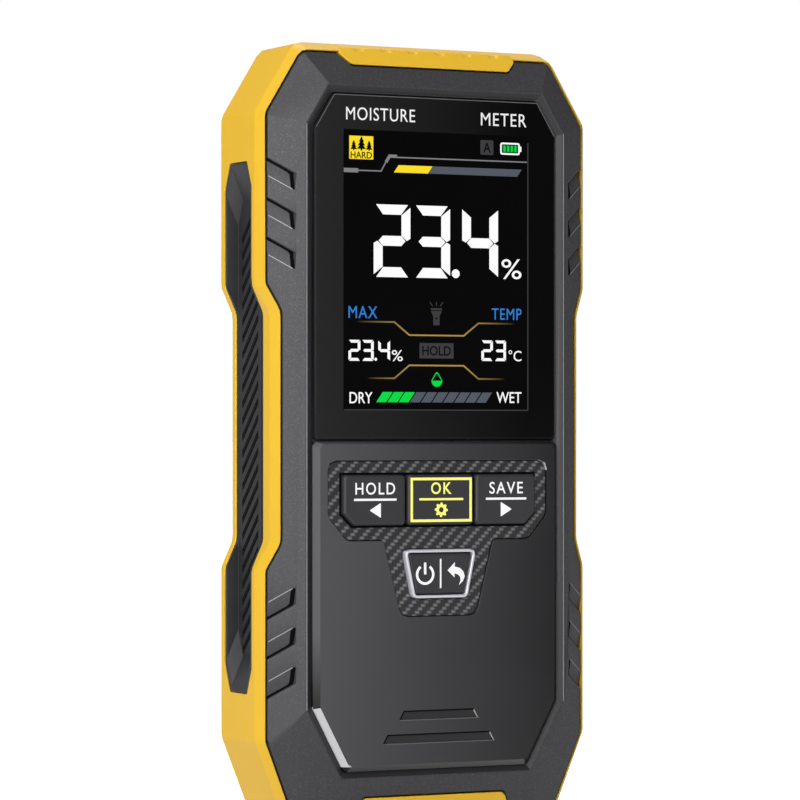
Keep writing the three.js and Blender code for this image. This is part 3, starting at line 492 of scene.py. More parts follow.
def copper_film():
    """Amber film over copper tracks, as flexible leads have."""
    finish = Finish("copper_film")
    across, _, _ = finish.axes()
    stripe = ((across / (0.5 * MM)) % 1.0) < 0.45
    cloud = finish.noise(1.2 * MM, 3.0)
    colour = finish.mix(stripe, (0.35, 0.11, 0.012), (0.6, 0.24, 0.05))
    return finish.surface(
        colour,
        Roughness=0.3 + cloud * 0.15,
        Specular_IOR_Level=0.5,
        Normal=finish.bump(stripe, 0.02 * MM, 0.6),
    )


def studio_paper():
    """White paper that shows white whatever the light, and lights the meter only a little."""
    finish = Finish("studio_paper")
    cloud = finish.noise(0.09, 3.0, 0.5)
    colour = finish.mix(cloud, (0.5, 0.5, 0.5), (0.52, 0.52, 0.52))
    seen = finish.node("ShaderNodeLightPath", output="Is Camera Ray")
    share = (seen + seen.other("Is Glossy Ray") * 0.3).clamp()
    glow = finish.mix(share, (0.17, 0.17, 0.17), (0.97, 0.97, 0.97))
    return finish.surface(
        colour, Roughness=0.9, Specular_IOR_Level=0.0, Emission_Color=glow, Emission_Strength=1.0
    )


def plain_finish(name, first, second, grain, rough, drift=None, relief=None, **values):
    """A finish between two colours, with a grain in its gloss. Grain and drift are noises given as
    (size in mm, detail, roughness), and the grain is the drift too where none is given. The grain's
    relief is (depth in mm, strength)."""
    finish = Finish(name)
    texture = finish.noise(grain[0] * MM, *grain[1:])
    tone = finish.noise(drift[0] * MM, *drift[1:]) if drift else texture
    if relief:
        values["Normal"] = finish.bump(texture, relief[0] * MM, relief[1])
    low, span = rough
    colour = finish.mix(tone, first, second)
    return finish.surface(colour, Roughness=low + texture * span, **values)


SATIN = {
    "grain": (0.16, 2.0, 0.6),
    "drift": (26, 1.0),
    "rough": (0.4, 0.1),
    "relief": (0.008, 0.6),
    "Specular_IOR_Level": 0.6,
}

finishes = {
    made.name: made
    for made in (
        yellow_plastic(),
        shell_plastic(),
        panel_plastic(),
        grip_rubber(),
        carbon_weave(),
        dark_glass(),
        clear_plastic(),
        circuit_board(),
        steel(),
        copper_film(),
        # Smoother moulded faces with a silky grain; the darker two are painted shade in sunken
        # places.
        plain_finish("satin_plastic", (0.036, 0.036, 0.04), (0.047, 0.047, 0.052), **SATIN),
        plain_finish("strip_dark", (0.01, 0.01, 0.011), (0.018, 0.018, 0.02), **SATIN),
        plain_finish("channel_dark", (0.011, 0.011, 0.012), (0.017, 0.017, 0.019), **SATIN),
        # Silicone key rubber with a soft lacquer over it.
        plain_finish(
            "key_rubber",
            (0.03, 0.03, 0.034),
            (0.041, 0.041, 0.046),
            grain=(0.2, 3.0, 0.6),
            rough=(0.44, 0.12),
            drift=(7, 2.0),
            relief=(0.01, 0.6),
            Specular_IOR_Level=0.45,
        ),
        # Satin nickel plating, brushed a little.
        plain_finish(
            "plating",
            (0.8, 0.8, 0.87),
            (0.9, 0.9, 0.95),
            grain=(0.12, 2.0),
            rough=(0.24, 0.1),
            drift=(1.6, 3.0, 0.5),
            relief=(0.004, 0.5),
            Metallic=0.4,
        ),
        # Crumpled aluminium foil round the battery's cell.
        plain_finish(
            "foil",
            (0.6, 0.61, 0.62),
            (0.8, 0.8, 0.81),
            grain=(3, 5.0, 0.6),
            rough=(0.22, 0.2),
            relief=(0.15, 0.5),
            Metallic=1.0,
        ),
        # Moulded epoxy round a chip or a plug.
        plain_finish(
            "component",
            (0.012, 0.012, 0.013),
            (0.03, 0.03, 0.031),
            grain=(0.15, 3.0, 0.6),
            rough=(0.5, 0.2),
            relief=(0.015, 0.6),
        ),
        # Painted shade: the darkness in a deep seam.
        plain_finish(
            "seam_black",
            (0.001, 0.001, 0.0012),
            (0.0045, 0.0045, 0.005),
            grain=(0.5, 3.0, 0.6),
            rough=(0.7, 0.2),
            Specular_IOR_Level=0.06,
        ),
        # A fine painted highlight line where a moulded edge catches the light.
        plain_finish(
            "polished_rim",
            (0.09, 0.09, 0.095),
            (0.17, 0.17, 0.18),
            grain=(1.4, 3.0, 0.6),
            rough=(0.3, 0.1),
            Specular_IOR_Level=0.6,
        ),
        # A painted highlight on a moulded edge, pale and smooth.
        plain_finish(
            "worn_edge",
            (0.24, 0.24, 0.25),
            (0.42, 0.42, 0.43),
            grain=(0.4, 3.0, 0.6),
            rough=(0.32, 0.1),
            Specular_IOR_Level=0.6,
        ),
    )
}


# ---- Making pieces ----


def placed(name, data):
    """A new object in the scene."""
    made = bpy.data.objects.new(name, data)
    bpy.context.scene.collection.objects.link(made)
    return made


def worked_out(holder):
    """The mesh that an object comes to. The object itself is removed."""
    graph = bpy.context.evaluated_depsgraph_get()
    made = bpy.data.meshes.new_from_object(holder.evaluated_get(graph))
    bpy.data.objects.remove(holder)
    return made


def add_piece(name, mesh, material, body, nodes=()):
    """Puts a mesh in the scene as a piece on a body, in the place of any nodes it stands for."""
    piece = placed(name, mesh)
    mesh.materials.clear()
    mesh.materials.append(material)
    for face in mesh.polygons:
        face.material_index = 0
    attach(piece, body)
    if nodes:
        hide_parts(*nodes)
    return piece


def as_mesh(build, name):
    """The mesh of a bmesh, its faces pointing outwards."""
    bmesh.ops.remove_doubles(build, verts=build.verts, dist=0.0004 * MM)
    bmesh.ops.recalc_face_normals(build, faces=build.faces)
    mesh = bpy.data.meshes.new(name)
    build.to_mesh(mesh)
    build.free()
    return mesh


def applied(mesh, name, *modifiers):
    """The mesh after modifiers, each given as its type and a dict of its settings."""
    holder = placed(name + "_work", mesh)
    for kind, settings in modifiers:
        modifier = holder.modifiers.new(kind, kind)
        for key, value in settings.items():
            setattr(modifier, key, value)
    made = worked_out(holder)
    made.name = name
    return made


def welded(node, radius, angle):
    """A copy of a node's mesh with its loose triangles joined and the long thin ones redrawn.

    Every edge that turns by more than the angle is marked for rounding, unless it meets an edge
    too short for the radius."""
    source = frame["nodes"][node].data
    build = bmesh.new()
    corners = [build.verts.new(v.co) for v in source.vertices]
    for face in source.polygons:
        build.faces.new([corners[i] for i in face.vertices])
    bmesh.ops.remove_doubles(build, verts=build.verts, dist=0.002 * MM)
    bmesh.ops.dissolve_limit(
        build, angle_limit=math.radians(0.05), verts=build.verts, edges=build.edges
    )
    bmesh.ops.triangulate(build, faces=build.faces, quad_method="BEAUTY", ngon_method="BEAUTY")
    share = build.edges.layers.float.new("bevel_weight_edge")
    turns = {e: math.degrees(e.calc_face_angle(0.0)) for e in build.edges}
    room = {
        v: min((e.calc_length() for e in v.link_edges if turns[e] > 5), default=1.0)
        for v in build.verts
    }
    for edge, turn in turns.items():
        first, second = edge.verts
        along = first.co - second.co
        runs_back = abs(along.y) > 0.9 * along.length
        limit = max(angle, 40) if runs_back and angle < 28 else angle
        if min(room[first], room[second]) < 1.1 * radius:
            continue
        if turn > limit:
            edge[share] = 1.0
    mesh = bpy.data.meshes.new(node + "_welded")
    build.to_mesh(mesh)
    build.free()
    return mesh


def softened(node, name, radius, slot, steps=3, angle=28, finish=None):
    """The node's shape with its edges rounded to a radius, shaded smooth across the rounding."""
    rounding = {
        "width": radius,
        "segments": steps,
        "limit_method": "WEIGHT",
        "use_clamp_overlap": False,
        "miter_outer": "MITER_ARC",
        "face_strength_mode": "FSTR_ALL",
    }
    mesh = welded(node, radius, angle)
    for face in mesh.polygons:
        face.use_smooth = True
    mesh = applied(
        mesh,
        name,
        ("BEVEL", rounding),
        ("WEIGHTED_NORMAL", {"mode": "FACE_AREA", "keep_sharp": True, "use_face_influence": True}),
    )
    body = frame["nodes"][node]["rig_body"]
    return add_piece(name, mesh, finishes[finish or slot], body, [node])


def join(build, first, second):
    """Four-cornered faces between two closed rows with as many corners each."""
    for i in range(len(first)):
        j = (i + 1) % len(first)
        build.faces.new((first[i], first[j], second[j], second[i]))


def enclose(build, loops):
    """Closes a solid of one loop, or of two round a ring. A loop is its front and back rows."""
    for front, back in loops:
        join(build, front, back)
    for layer in (0, 1):
        if len(loops) == 1:
            build.faces.new(loops[0][layer])
        else:
            join(build, loops[0][layer], loops[1][layer])


def film_mesh(name, shapes, face, thickness=FILM):
    """Flat shapes stood up as one film in front of a face. A shape is an outline of (x, z) points,
    or a pair of outlines with as many points each, which bound a ring."""
    build = bmesh.new()
    front, back = face - FILM_GAP - thickness, face - FILM_GAP
    for shape in shapes:
        ringed = len(shape) == 2 and len(shape[0]) > 2
        loops = [
            [[build.verts.new((x, y, z)) for x, z in outline] for y in (front, back)]
            for outline in (shape if ringed else [shape])
        ]
        enclose(build, loops)
    return as_mesh(build, name)


def film(name, shapes, material, face=GLASS_FACE, body="case", thickness=FILM):
    return add_piece(name, film_mesh(name, shapes, face, thickness), material, body)


def rectangle(left, bottom, right, top, slant=0.0):
    """Its top edge is moved to the right by slant."""
    return [(left, bottom), (right - slant, bottom), (right, top), (left + slant, top)]


def rounded(left, bottom, right, top, radius, steps=5):
    points = []
    corners = (
        (right - radius, top - radius, 0),
        (left + radius, top - radius, 90),
        (left + radius, bottom + radius, 180),
        (right - radius, bottom + radius, 270),
    )
    for x, z, start in corners:
        for i in range(steps + 1):
            turn = math.radians(start + 90 * i / steps)
            points.append((x + radius * math.cos(turn), z + radius * math.sin(turn)))
    return points


def circle(x, z, radius, steps=28):
    turns = (2 * math.pi * i / steps for i in range(steps))
    return [(x + radius * math.cos(t), z + radius * math.sin(t)) for t in turns]


def band(points, width):
    """The outline of a line of that width through points, with mitred corners and square ends."""
    left, right = [], []
    for i, (x, z) in enumerate(points):
        here = Vector((x, z))
        before = (here - Vector(points[i - 1])).normalized() if i else None
        after = (Vector(points[i + 1]) - here).normalized() if i + 1 < len(points) else None
        before, after = before or after, after or before
        along = (before + after).normalized()
        across = Vector((-along.y, along.x))
        reach = width / 2 / max(across.dot(Vector((-after.y, after.x))), 0.3)
        left.append(tuple(here + across * reach))
        right.append(tuple(here - across * reach))
    return left + right[::-1]


def frame_of(outer, inner):
    return (outer, inner)


def lettering(
    name, text, box, material, face=GLASS_FACE, body="case", weight=0.012, spacing=1.0
):
    """Words as a film that fills a box of (left, bottom, right, top)."""
    curve = bpy.data.curves.new(name, "FONT")
    curve.body = text
    curve.extrude = 0.5
    curve.offset = weight
    curve.space_character = spacing
    curve.resolution_u = 4
    mesh = worked_out(placed(name + "_work", curve))
    xs = [v.co.x for v in mesh.vertices]
    ys = [v.co.y for v in mesh.vertices]
    left, bottom, right, top = box
    across = (right - left) / (max(xs) - min(xs))
    up = (top - bottom) / (max(ys) - min(ys))
    for v in mesh.vertices:
        x = left + (v.co.x - min(xs)) * across
        z = bottom + (v.co.y - min(ys)) * up
        depth = FILM if v.co.z > 0 else 0.0
        v.co = (x, face - FILM_GAP - depth, z)
    build = bmesh.new()
    build.from_mesh(mesh)
    bmesh.ops.remove_doubles(build, verts=build.verts, dist=0.0004 * MM)
    mesh = as_mesh(build, name)
    return add_piece(name, mesh, material, body)


# ---- Repeats, grown by geometry trees ----


class Growth(Graph):
    """A geometry tree with named inputs. It ends by realising its copies and giving a material."""

    def __init__(self, name, inputs):
        tree = bpy.data.node_groups.new(name, "GeometryNodeTree")
        super().__init__(tree)
        tree.interface.new_socket("Geometry", in_out="INPUT", socket_type="NodeSocketGeometry")
        for key, kind in inputs.items():
            tree.interface.new_socket(key, in_out="INPUT", socket_type="NodeSocket" + kind)
        tree.interface.new_socket("Material", in_out="INPUT", socket_type="NodeSocketMaterial")
        tree.interface.new_socket("Geometry", in_out="OUTPUT", socket_type="NodeSocketGeometry")
        self.given = self.node("NodeGroupInput", output="Geometry")

    def end(self, copies):
        real = self.node("GeometryNodeRealizeInstances", {}, {"Geometry": copies})
        values = {"Geometry": real, "Material": self.given.other("Material")}
        dressed = self.node("GeometryNodeSetMaterial", {}, values)
        self.node("NodeGroupOutput", {}, {"Geometry": dressed})
        return self.tree

    def grow(self, name, mesh, material, **values):
        """The mesh that the tree makes of a mesh."""
        holder = placed(name + "_work", mesh)
        modifier = holder.modifiers.new("growth", "NODES")
        modifier.node_group = self.tree
        values["Material"] = material
        for item in self.tree.interface.items_tree:
            if item.in_out == "INPUT" and item.name in values:
                modifier[item.identifier] = values[item.name]
        made = worked_out(holder)
        made.name = name
        return made


def row_growth():
    """Copies what it is given along a straight row."""
    growth = Growth("row", {"Count": "Int", "Step": "Vector"})
    values = {"Count": growth.given.other("Count"), "Offset": growth.given.other("Step")}
    line = growth.node("GeometryNodeMeshLine", {"mode": "OFFSET"}, values)
    copies = growth.node(
        "GeometryNodeInstanceOnPoints", {}, {"Points": line, "Instance": growth.given}
    )
    growth.end(copies)
    return growth


def spot_growth():
    """Copies a piece onto each point of what it is given."""
    growth = Growth("spots", {"Piece": "Object"})
    piece = growth.node(
        "GeometryNodeObjectInfo", {}, {"Object": growth.given.other("Piece")}, "Geometry"
    )
    copies = growth.node(
        "GeometryNodeInstanceOnPoints", {}, {"Points": growth.given, "Instance": piece}
    )
    growth.end(copies)
    return growth


ROW = row_growth()
SPOTS = spot_growth()


def row_of_films(name, shapes, material, count, step, face=GLASS_FACE, body="case"):
    mesh = film_mesh(name + "_one", shapes, face)
    made = ROW.grow(name, mesh, material, Count=count, Step=step)
    return add_piece(name, made, material, body)


# ---- The case ----


def make_case():
    softened("front_shell", "front_case", 0.16 * MM, "shell_plastic")
    softened("bumper_frame", "yellow_bumper", 0.2 * MM, "yellow_plastic", angle=12)
    softened("rear_cover", "rear_case", 0.08 * MM, "shell_plastic")
    softened("left_grip", "left_grip_rubber", 0.12 * MM, "grip_rubber", 2)
    softened("right_grip", "right_grip_rubber", 0.12 * MM, "grip_rubber", 2)
    softened("lower_panel", "lower_panel_face", 0.1 * MM, "satin_plastic", finish="panel_plastic")
    softened("key_surround", "weave_surround", 0.12 * MM, "carbon_weave", 2)
    softened("power_key_ring", "power_ring", 0.14 * MM, "plating")
    softened("display_window", "window_glass", 0.2 * MM, "dark_glass")
    softened("rear_foot_left", "left_foot", 0.35 * MM, "grip_rubber")
    softened("rear_foot_right", "right_foot", 0.35 * MM, "grip_rubber")
    softened("sensor_pad", "sensing_pad", 0.4 * MM, "key_rubber")
    softened("rear_label", "label_plate", 0.06 * MM, "satin_plastic", 2)
    softened("port_cover", "port_flap_rubber", 0.2 * MM, "grip_rubber")
    softened("torch_lens", "torch_window", 0.15 * MM, "clear_plastic")


def case_piece(name, mesh, finish):
    return add_piece(name, mesh, finishes[finish], "case")


# The louvres' pockets, three above and three below on each side slope of the front.
LOUVRE_ACROSS, LOUVRE_FALL, LOUVRE_HEIGHT = 4.1 * MM, 2.8 * MM, 3.0 * MM
LOUVRE_PITCH, LOUVRE_SINK = 6.85 * MM, 0.75 * MM
LOUVRE_TOP, LOUVRE_BOTTOM = 20.7 * MM, 26.4 * MM

# The ridge goes this far past the window. Its corners are cut by these widths and heights.
WINDOW_INSET = 1.75 * MM
RIDGE_BOTTOM = 12.1 * MM
RIDGE_FOOT_CUT = (6.6 * MM, 12.4 * MM)
RIDGE_TOP_CUT = (4.4 * MM, 7.2 * MM)
# The ridge's flat land is this much in front of the window's face.
LAND = GLASS_FACE - 0.1 * MM

# The slanting slots in the floors of the grips.
SLOT_PITCH, SLOT_DEPTH, SLOT_END = 2.9 * MM, 0.42 * MM, 10.15 * MM


def side_slope(x):
    """Y of the front's side slope at x, which falls from the ridge to the frame."""
    ridge_half = window_high.x + WINDOW_INSET
    outer_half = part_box("front_shell")[1].x
    fall = 3.85 * MM
    return LAND + fall * (abs(x) - ridge_half) / (outer_half - ridge_half)


def louvre_film_piece(build, side, up, index, outline, sinks, lift, thickness):
    """A thin solid in a louvre that carries painted shade or a painted highlight. Its outline is
    (out, down) from the pocket's deep outer corner.
    """
    outer_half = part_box("front_shell")[1].x
    start = meter_high.z - LOUVRE_TOP if up > 0 else LOUVRE_BOTTOM
    edge = start - up * index * LOUVRE_PITCH
    front, back = [], []
    for out, down in outline:
        x = side * (outer_half - out)
        z = edge - up * (down + out * LOUVRE_FALL / LOUVRE_ACROSS)
        y = side_slope(x) + sinks * LOUVRE_SINK * (1 - down / LOUVRE_HEIGHT) - lift
        front.append(build.verts.new((x, y, z)))
        back.append(build.verts.new((x, y + thickness, z)))
    enclose(build, [(front, back)])


def make_louvres():
    """Painted shade in each pocket's deep corner and a fine painted highlight along its shallow
    edge.
    """
    shade_band, highlight_band = bmesh.new(), bmesh.new()
    band_top, band_side, inset = 0.42 * MM, 0.72 * MM, 0.12 * MM
    inner, low = LOUVRE_ACROSS, LOUVRE_HEIGHT
    corner = [
        (inset, 0.0),
        (inner, 0.0),
        (inner, low - 0.2 * MM),
        (inner - 0.25 * MM, low),
        (inner - band_side + 0.1 * MM, low),
        (inner - band_side, low - 0.25 * MM),
        (inner - band_side, band_top + 0.2 * MM),
        (inner - band_side - 0.3 * MM, band_top),
        (inset, band_top),
    ]
    highlight_outline = rectangle(inset, low, inner - 0.5 * MM, low + 0.16 * MM)
    for side in (-1, 1):
        for up in (1, -1):
            for index in range(3):
                louvre_film_piece(shade_band, side, up, index, corner, 1.0, 0.03 * MM, 0.05 * MM)
                louvre_film_piece(highlight_band, side, up, index, highlight_outline, 0.0, 0.05 * MM, 0.08 * MM)
    case_piece("louvre_seams", as_mesh(shade_band, "louvre_seams"), "seam_black")
    case_piece("louvre_lips", as_mesh(highlight_band, "louvre_lips"), "worn_edge")


def slant_outline(middle, run, half, up):
    """A slanting slot's outline of (y, z) points, lower at the back."""
    return [
        (middle - run, up + run - half),
        (middle - run, up + run + half),
        (middle + run, up - run + half),
        (middle + run, up - run - half),
    ]


def make_grip_slots():
    """Painted shade in the grips' floors: a black strip down each slanting slot and a black margin
    round it.
    """
    for side, node in ((-1, "left_grip"), (1, "right_grip")):
        low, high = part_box(node)
        middle = (low.y + high.y) / 2
        first = low.z + SLOT_END
        last = high.z - SLOT_END
        count = int((last - first) / SLOT_PITCH) + 1
        start = (first + last - (count - 1) * SLOT_PITCH) / 2
        strip = slant_outline(middle, 2.9 * MM, 0.35 * MM, start)
        rims = (
            slant_outline(middle, 3.25 * MM, 0.62 * MM, start),
            slant_outline(middle, 2.96 * MM, 0.38 * MM, start),
        )
        build = bmesh.new()
        for loops, depth in (((strip,), GRIP_FLOOR - SLOT_DEPTH), (rims, GRIP_FLOOR)):
            levels = (depth + 0.01 * MM, depth + 0.04 * MM)
            enclose(
                build,
                [
                    [[build.verts.new((side * x, y, z)) for y, z in loop] for x in levels]
                    for loop in loops
                ],
            )
        name = f"{node}_slots"
        black = finishes["seam_black"]
        step = (0, 0, SLOT_PITCH)
        made = ROW.grow(name, as_mesh(build, f"{node}_slot"), black, Count=count, Step=step)
        case_piece(name, made, "seam_black")


def inset_outline(corners, inset):
    """A convex outline, anticlockwise, moved inwards by inset."""
    made = []
    count = len(corners)
    for i in range(count):
        before, here, after = (Vector(corners[k % count]) for k in (i - 1, i, i + 1))
        first, second = (here - before).normalized(), (after - here).normalized()
        # Inwards is to the left of a walk round an anticlockwise outline.
        normals = [Vector((-way.y, way.x)) for way in (first, second)]
        middle = (normals[0] + normals[1]).normalized()
        made.append(tuple(here + middle * (inset / middle.dot(normals[0]))))
    return made


def ridge_outline(inset):
    """The ridge's eight corners, moved inwards."""
    half = window_high.x + WINDOW_INSET
    low, high = RIDGE_BOTTOM, window_high.z + WINDOW_INSET
    foot, side = RIDGE_FOOT_CUT
    brow, shoulder = RIDGE_TOP_CUT
    right = [
        (half - foot, low),
        (half, low + side),
        (half, high - shoulder),
        (half - brow, high),
    ]
    corners = right + [(-x, z) for x, z in right[::-1]]
    return inset_outline(corners, inset)


def sloping_ring(name, outer, inner, thickness):
    """A thin ring between two outlines of (x, z) points. Each is given with its own y."""
    build = bmesh.new()
    loops = [
        [[build.verts.new((x, y + d, z)) for x, z in outline] for d in (0.0, thickness)]
        for outline, y in (outer, inner)
    ]
    enclose(build, loops)
    return as_mesh(build, name)


def make_channel():
    """Painted shade as a black film down the channel's sloping floor, and a painted highlight line
    round the window.
    """
    deep = GLASS_FACE + 0.55 * MM
    raised = 0.05 * MM
    outer = (ridge_outline(0.42 * MM), LAND + 0.07 * MM - raised)
    inner = (ridge_outline(1.34 * MM), deep - 0.035 * MM - raised)
    line = sloping_ring("channel_line", outer, inner, 0.03 * MM)
    case_piece("channel_line", line, "channel_dark")

    # Painted highlight: a pale line along the ridge's upright crests.
    crest = ridge_outline(0.12 * MM)
    uprights = [band(crest[1:3], 0.15 * MM), band(crest[5:7], 0.15 * MM)]
    film("ridge_crest", uprights, finishes["worn_edge"], LAND)

    edge = WINDOW_INSET + 0.22 * MM
    corners = ridge_outline(edge)[2:6]
    rim = [band(corners[::-1], 0.16 * MM)]
    film("window_rim", rim, finishes["polished_rim"])


def make_strip_shading():
    """The panel's two sunken strips: a painted shade floor, a black painted shadow along the top
    and a pale painted highlight line below.
    """
    panel_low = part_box("lower_panel")[0]
    front = panel_low.y
    floor = front + 0.35 * MM
    for index, (top, half) in enumerate(((10.3, 7.8), (6.2, 11.0))):
        upper = panel_low.z + top * MM
        lower = upper - 1.5 * MM
        wide, narrow = half * MM, (half - 0.9) * MM
        inside = 0.14 * MM
        fill = [
            (-wide + 2 * inside, lower + inside),
            (wide - 2 * inside, lower + inside),
            (narrow - inside, upper - inside),
            (-narrow + inside, upper - inside),
        ]
        dark = finishes["strip_dark"]
        film(f"strip_floor_{index + 1}", [fill], dark, floor)
        shade_band = [
            (-wide + 0.1 * MM, lower + 0.1 * MM),
            (-narrow, upper + 0.02 * MM),
            (narrow, upper + 0.02 * MM),
        ]
        line = [band(shade_band, 0.22 * MM)]
        film(f"strip_seam_{index + 1}", line, finishes["seam_black"], front)
        pale = [
            (-wide, lower - 0.06 * MM),
            (wide + 0.06 * MM, lower - 0.06 * MM),
            (narrow + 0.08 * MM, upper),
        ]
        line = [band(pale, 0.14 * MM)]
        film(f"strip_lip_{index + 1}", line, finishes["polished_rim"], front)


def make_key_outline():
    """Painted shade: a dull black line round the row of keys, on the surround."""
    face = surround_low.y
    row_top = window_low.z - KEY_ROW_BELOW_WINDOW
    half, deep, chamfer = 19.0 * MM, 8.8 * MM, 2.1 * MM

    def outline(grow):
        left, right = -half - grow, half + grow
        low, high = row_top - deep - grow, row_top + grow
        cut = chamfer + grow * 0.4
        return [
            (left + cut, low),
            (right - cut, low),
            (right, low + cut),
            (right, high),
            (left, high),
            (left, low + cut),
        ]

    ring = frame_of(outline(0.42 * MM), outline(0.06 * MM))
    film("key_row_line", [ring], finishes["seam_black"], face)


def make_keys():
    for key in ("hold", "ok", "save", "power"):
        softened(f"{key}_key", f"{key}_key_cap", 0.16 * MM, "key_rubber")


# ---- The display ----


def screen_box(left, down, width, height):
    """(left, bottom, right, top) of a box given in mm from the display's top left corner."""
    x = SCREEN_LEFT + left * MM
    z = SCREEN_TOP - down * MM
    return (x, z - height * MM, x + width * MM, z)


def screen_points(*points):
    return [(SCREEN_LEFT + x * MM, SCREEN_TOP - down * MM) for x, down in points]


# The strokes of a seven-stroke digit: a top, b upper right, c lower right, d bottom, e lower left,
# f upper left, g middle.
DIGIT_STROKES = {"2": "abged", "3": "abgcd", "4": "fgbc"}


def digit_shapes(digit, left, down, width, height, stroke, gap):
    """Outlines of a digit's strokes, mitred where they meet, in mm from the display's top left."""
    right, low, mid = left + width, down + height, down + height / 2
    cut = stroke * 0.22
    half = stroke / 2

    def stroke_points(name):
        if name in "ad":
            edge, inner = (down, down + stroke) if name == "a" else (low, low - stroke)
            return [
                (left + cut + gap, edge),
                (right - cut - gap, edge),
                (right - stroke - gap, inner),
                (left + stroke + gap, inner),
            ]
        if name == "g":
            return [
                (left + half + gap, mid),
                (left + stroke + gap * 0.6, mid - half),
                (right - stroke - gap * 0.6, mid - half),
                (right - half - gap, mid),
                (right - stroke - gap * 0.6, mid + half),
                (left + stroke + gap * 0.6, mid + half),
            ]
        outer, inner = (right, right - stroke) if name in "bc" else (left, left + stroke)
        towards = 1 if outer < inner else -1
        start, end, sign = (down, mid, 1) if name in "bf" else (low, mid, -1)
        return [
            (outer, start + sign * (cut + gap)),
            (outer, end - sign * (cut + gap * 0.5)),
            (outer + towards * half * 0.8, end - sign * gap * 0.5),
            (inner, end - sign * (half + gap * 0.5)),
            (inner, start + sign * (stroke + gap)),
        ]

    return [screen_points(*stroke_points(name)) for name in DIGIT_STROKES[digit]]


def number_shapes(text, lefts, down, width, height, stroke, gap):
    shapes = []
    for digit, left in zip(text, lefts):
        shapes += digit_shapes(digit, left, down, width, height, stroke, gap)
    return shapes


def tree_shapes(centre, base, width, height):
    """A fir as three stacked triangles on a trunk, in mm from the display's top left."""
    shapes = []
    for i, share in enumerate((0.55, 0.78, 1.0)):
        foot = base - height * (0.62 - 0.25 * i)
        half = width / 2 * share
        tip = foot - height * 0.42
        shapes.append(screen_points((centre - half, foot), (centre + half, foot), (centre, tip)))
    trunk = width * 0.09
    shapes.append(
        screen_points(
            (centre - trunk, base),
            (centre + trunk, base),
            (centre + trunk, base - height * 0.14),
            (centre - trunk, base - height * 0.14),
        )
    )
    return shapes


def drop_outline(centre, down, width, height, shrink=0.0, steps=24):
    """A water drop: a round foot drawn out to a point."""
    radius = width / 2 - shrink
    foot = down + height - width / 2
    points = []
    for i in range(steps):
        turn = 2 * math.pi * i / steps
        x, z = math.sin(turn), -math.cos(turn)
        narrow, stretch = 1.0, 1.0
        if z < 0:
            # Above the middle of its foot the sides draw in towards the tip.
            rise = (foot - down - shrink * 1.6) / radius
            narrow, stretch = 1 + z * 0.42, 1 + (rise - 1) * z * z
        points.append((centre + x * radius * narrow, foot + z * radius * stretch))
    return screen_points(*points)


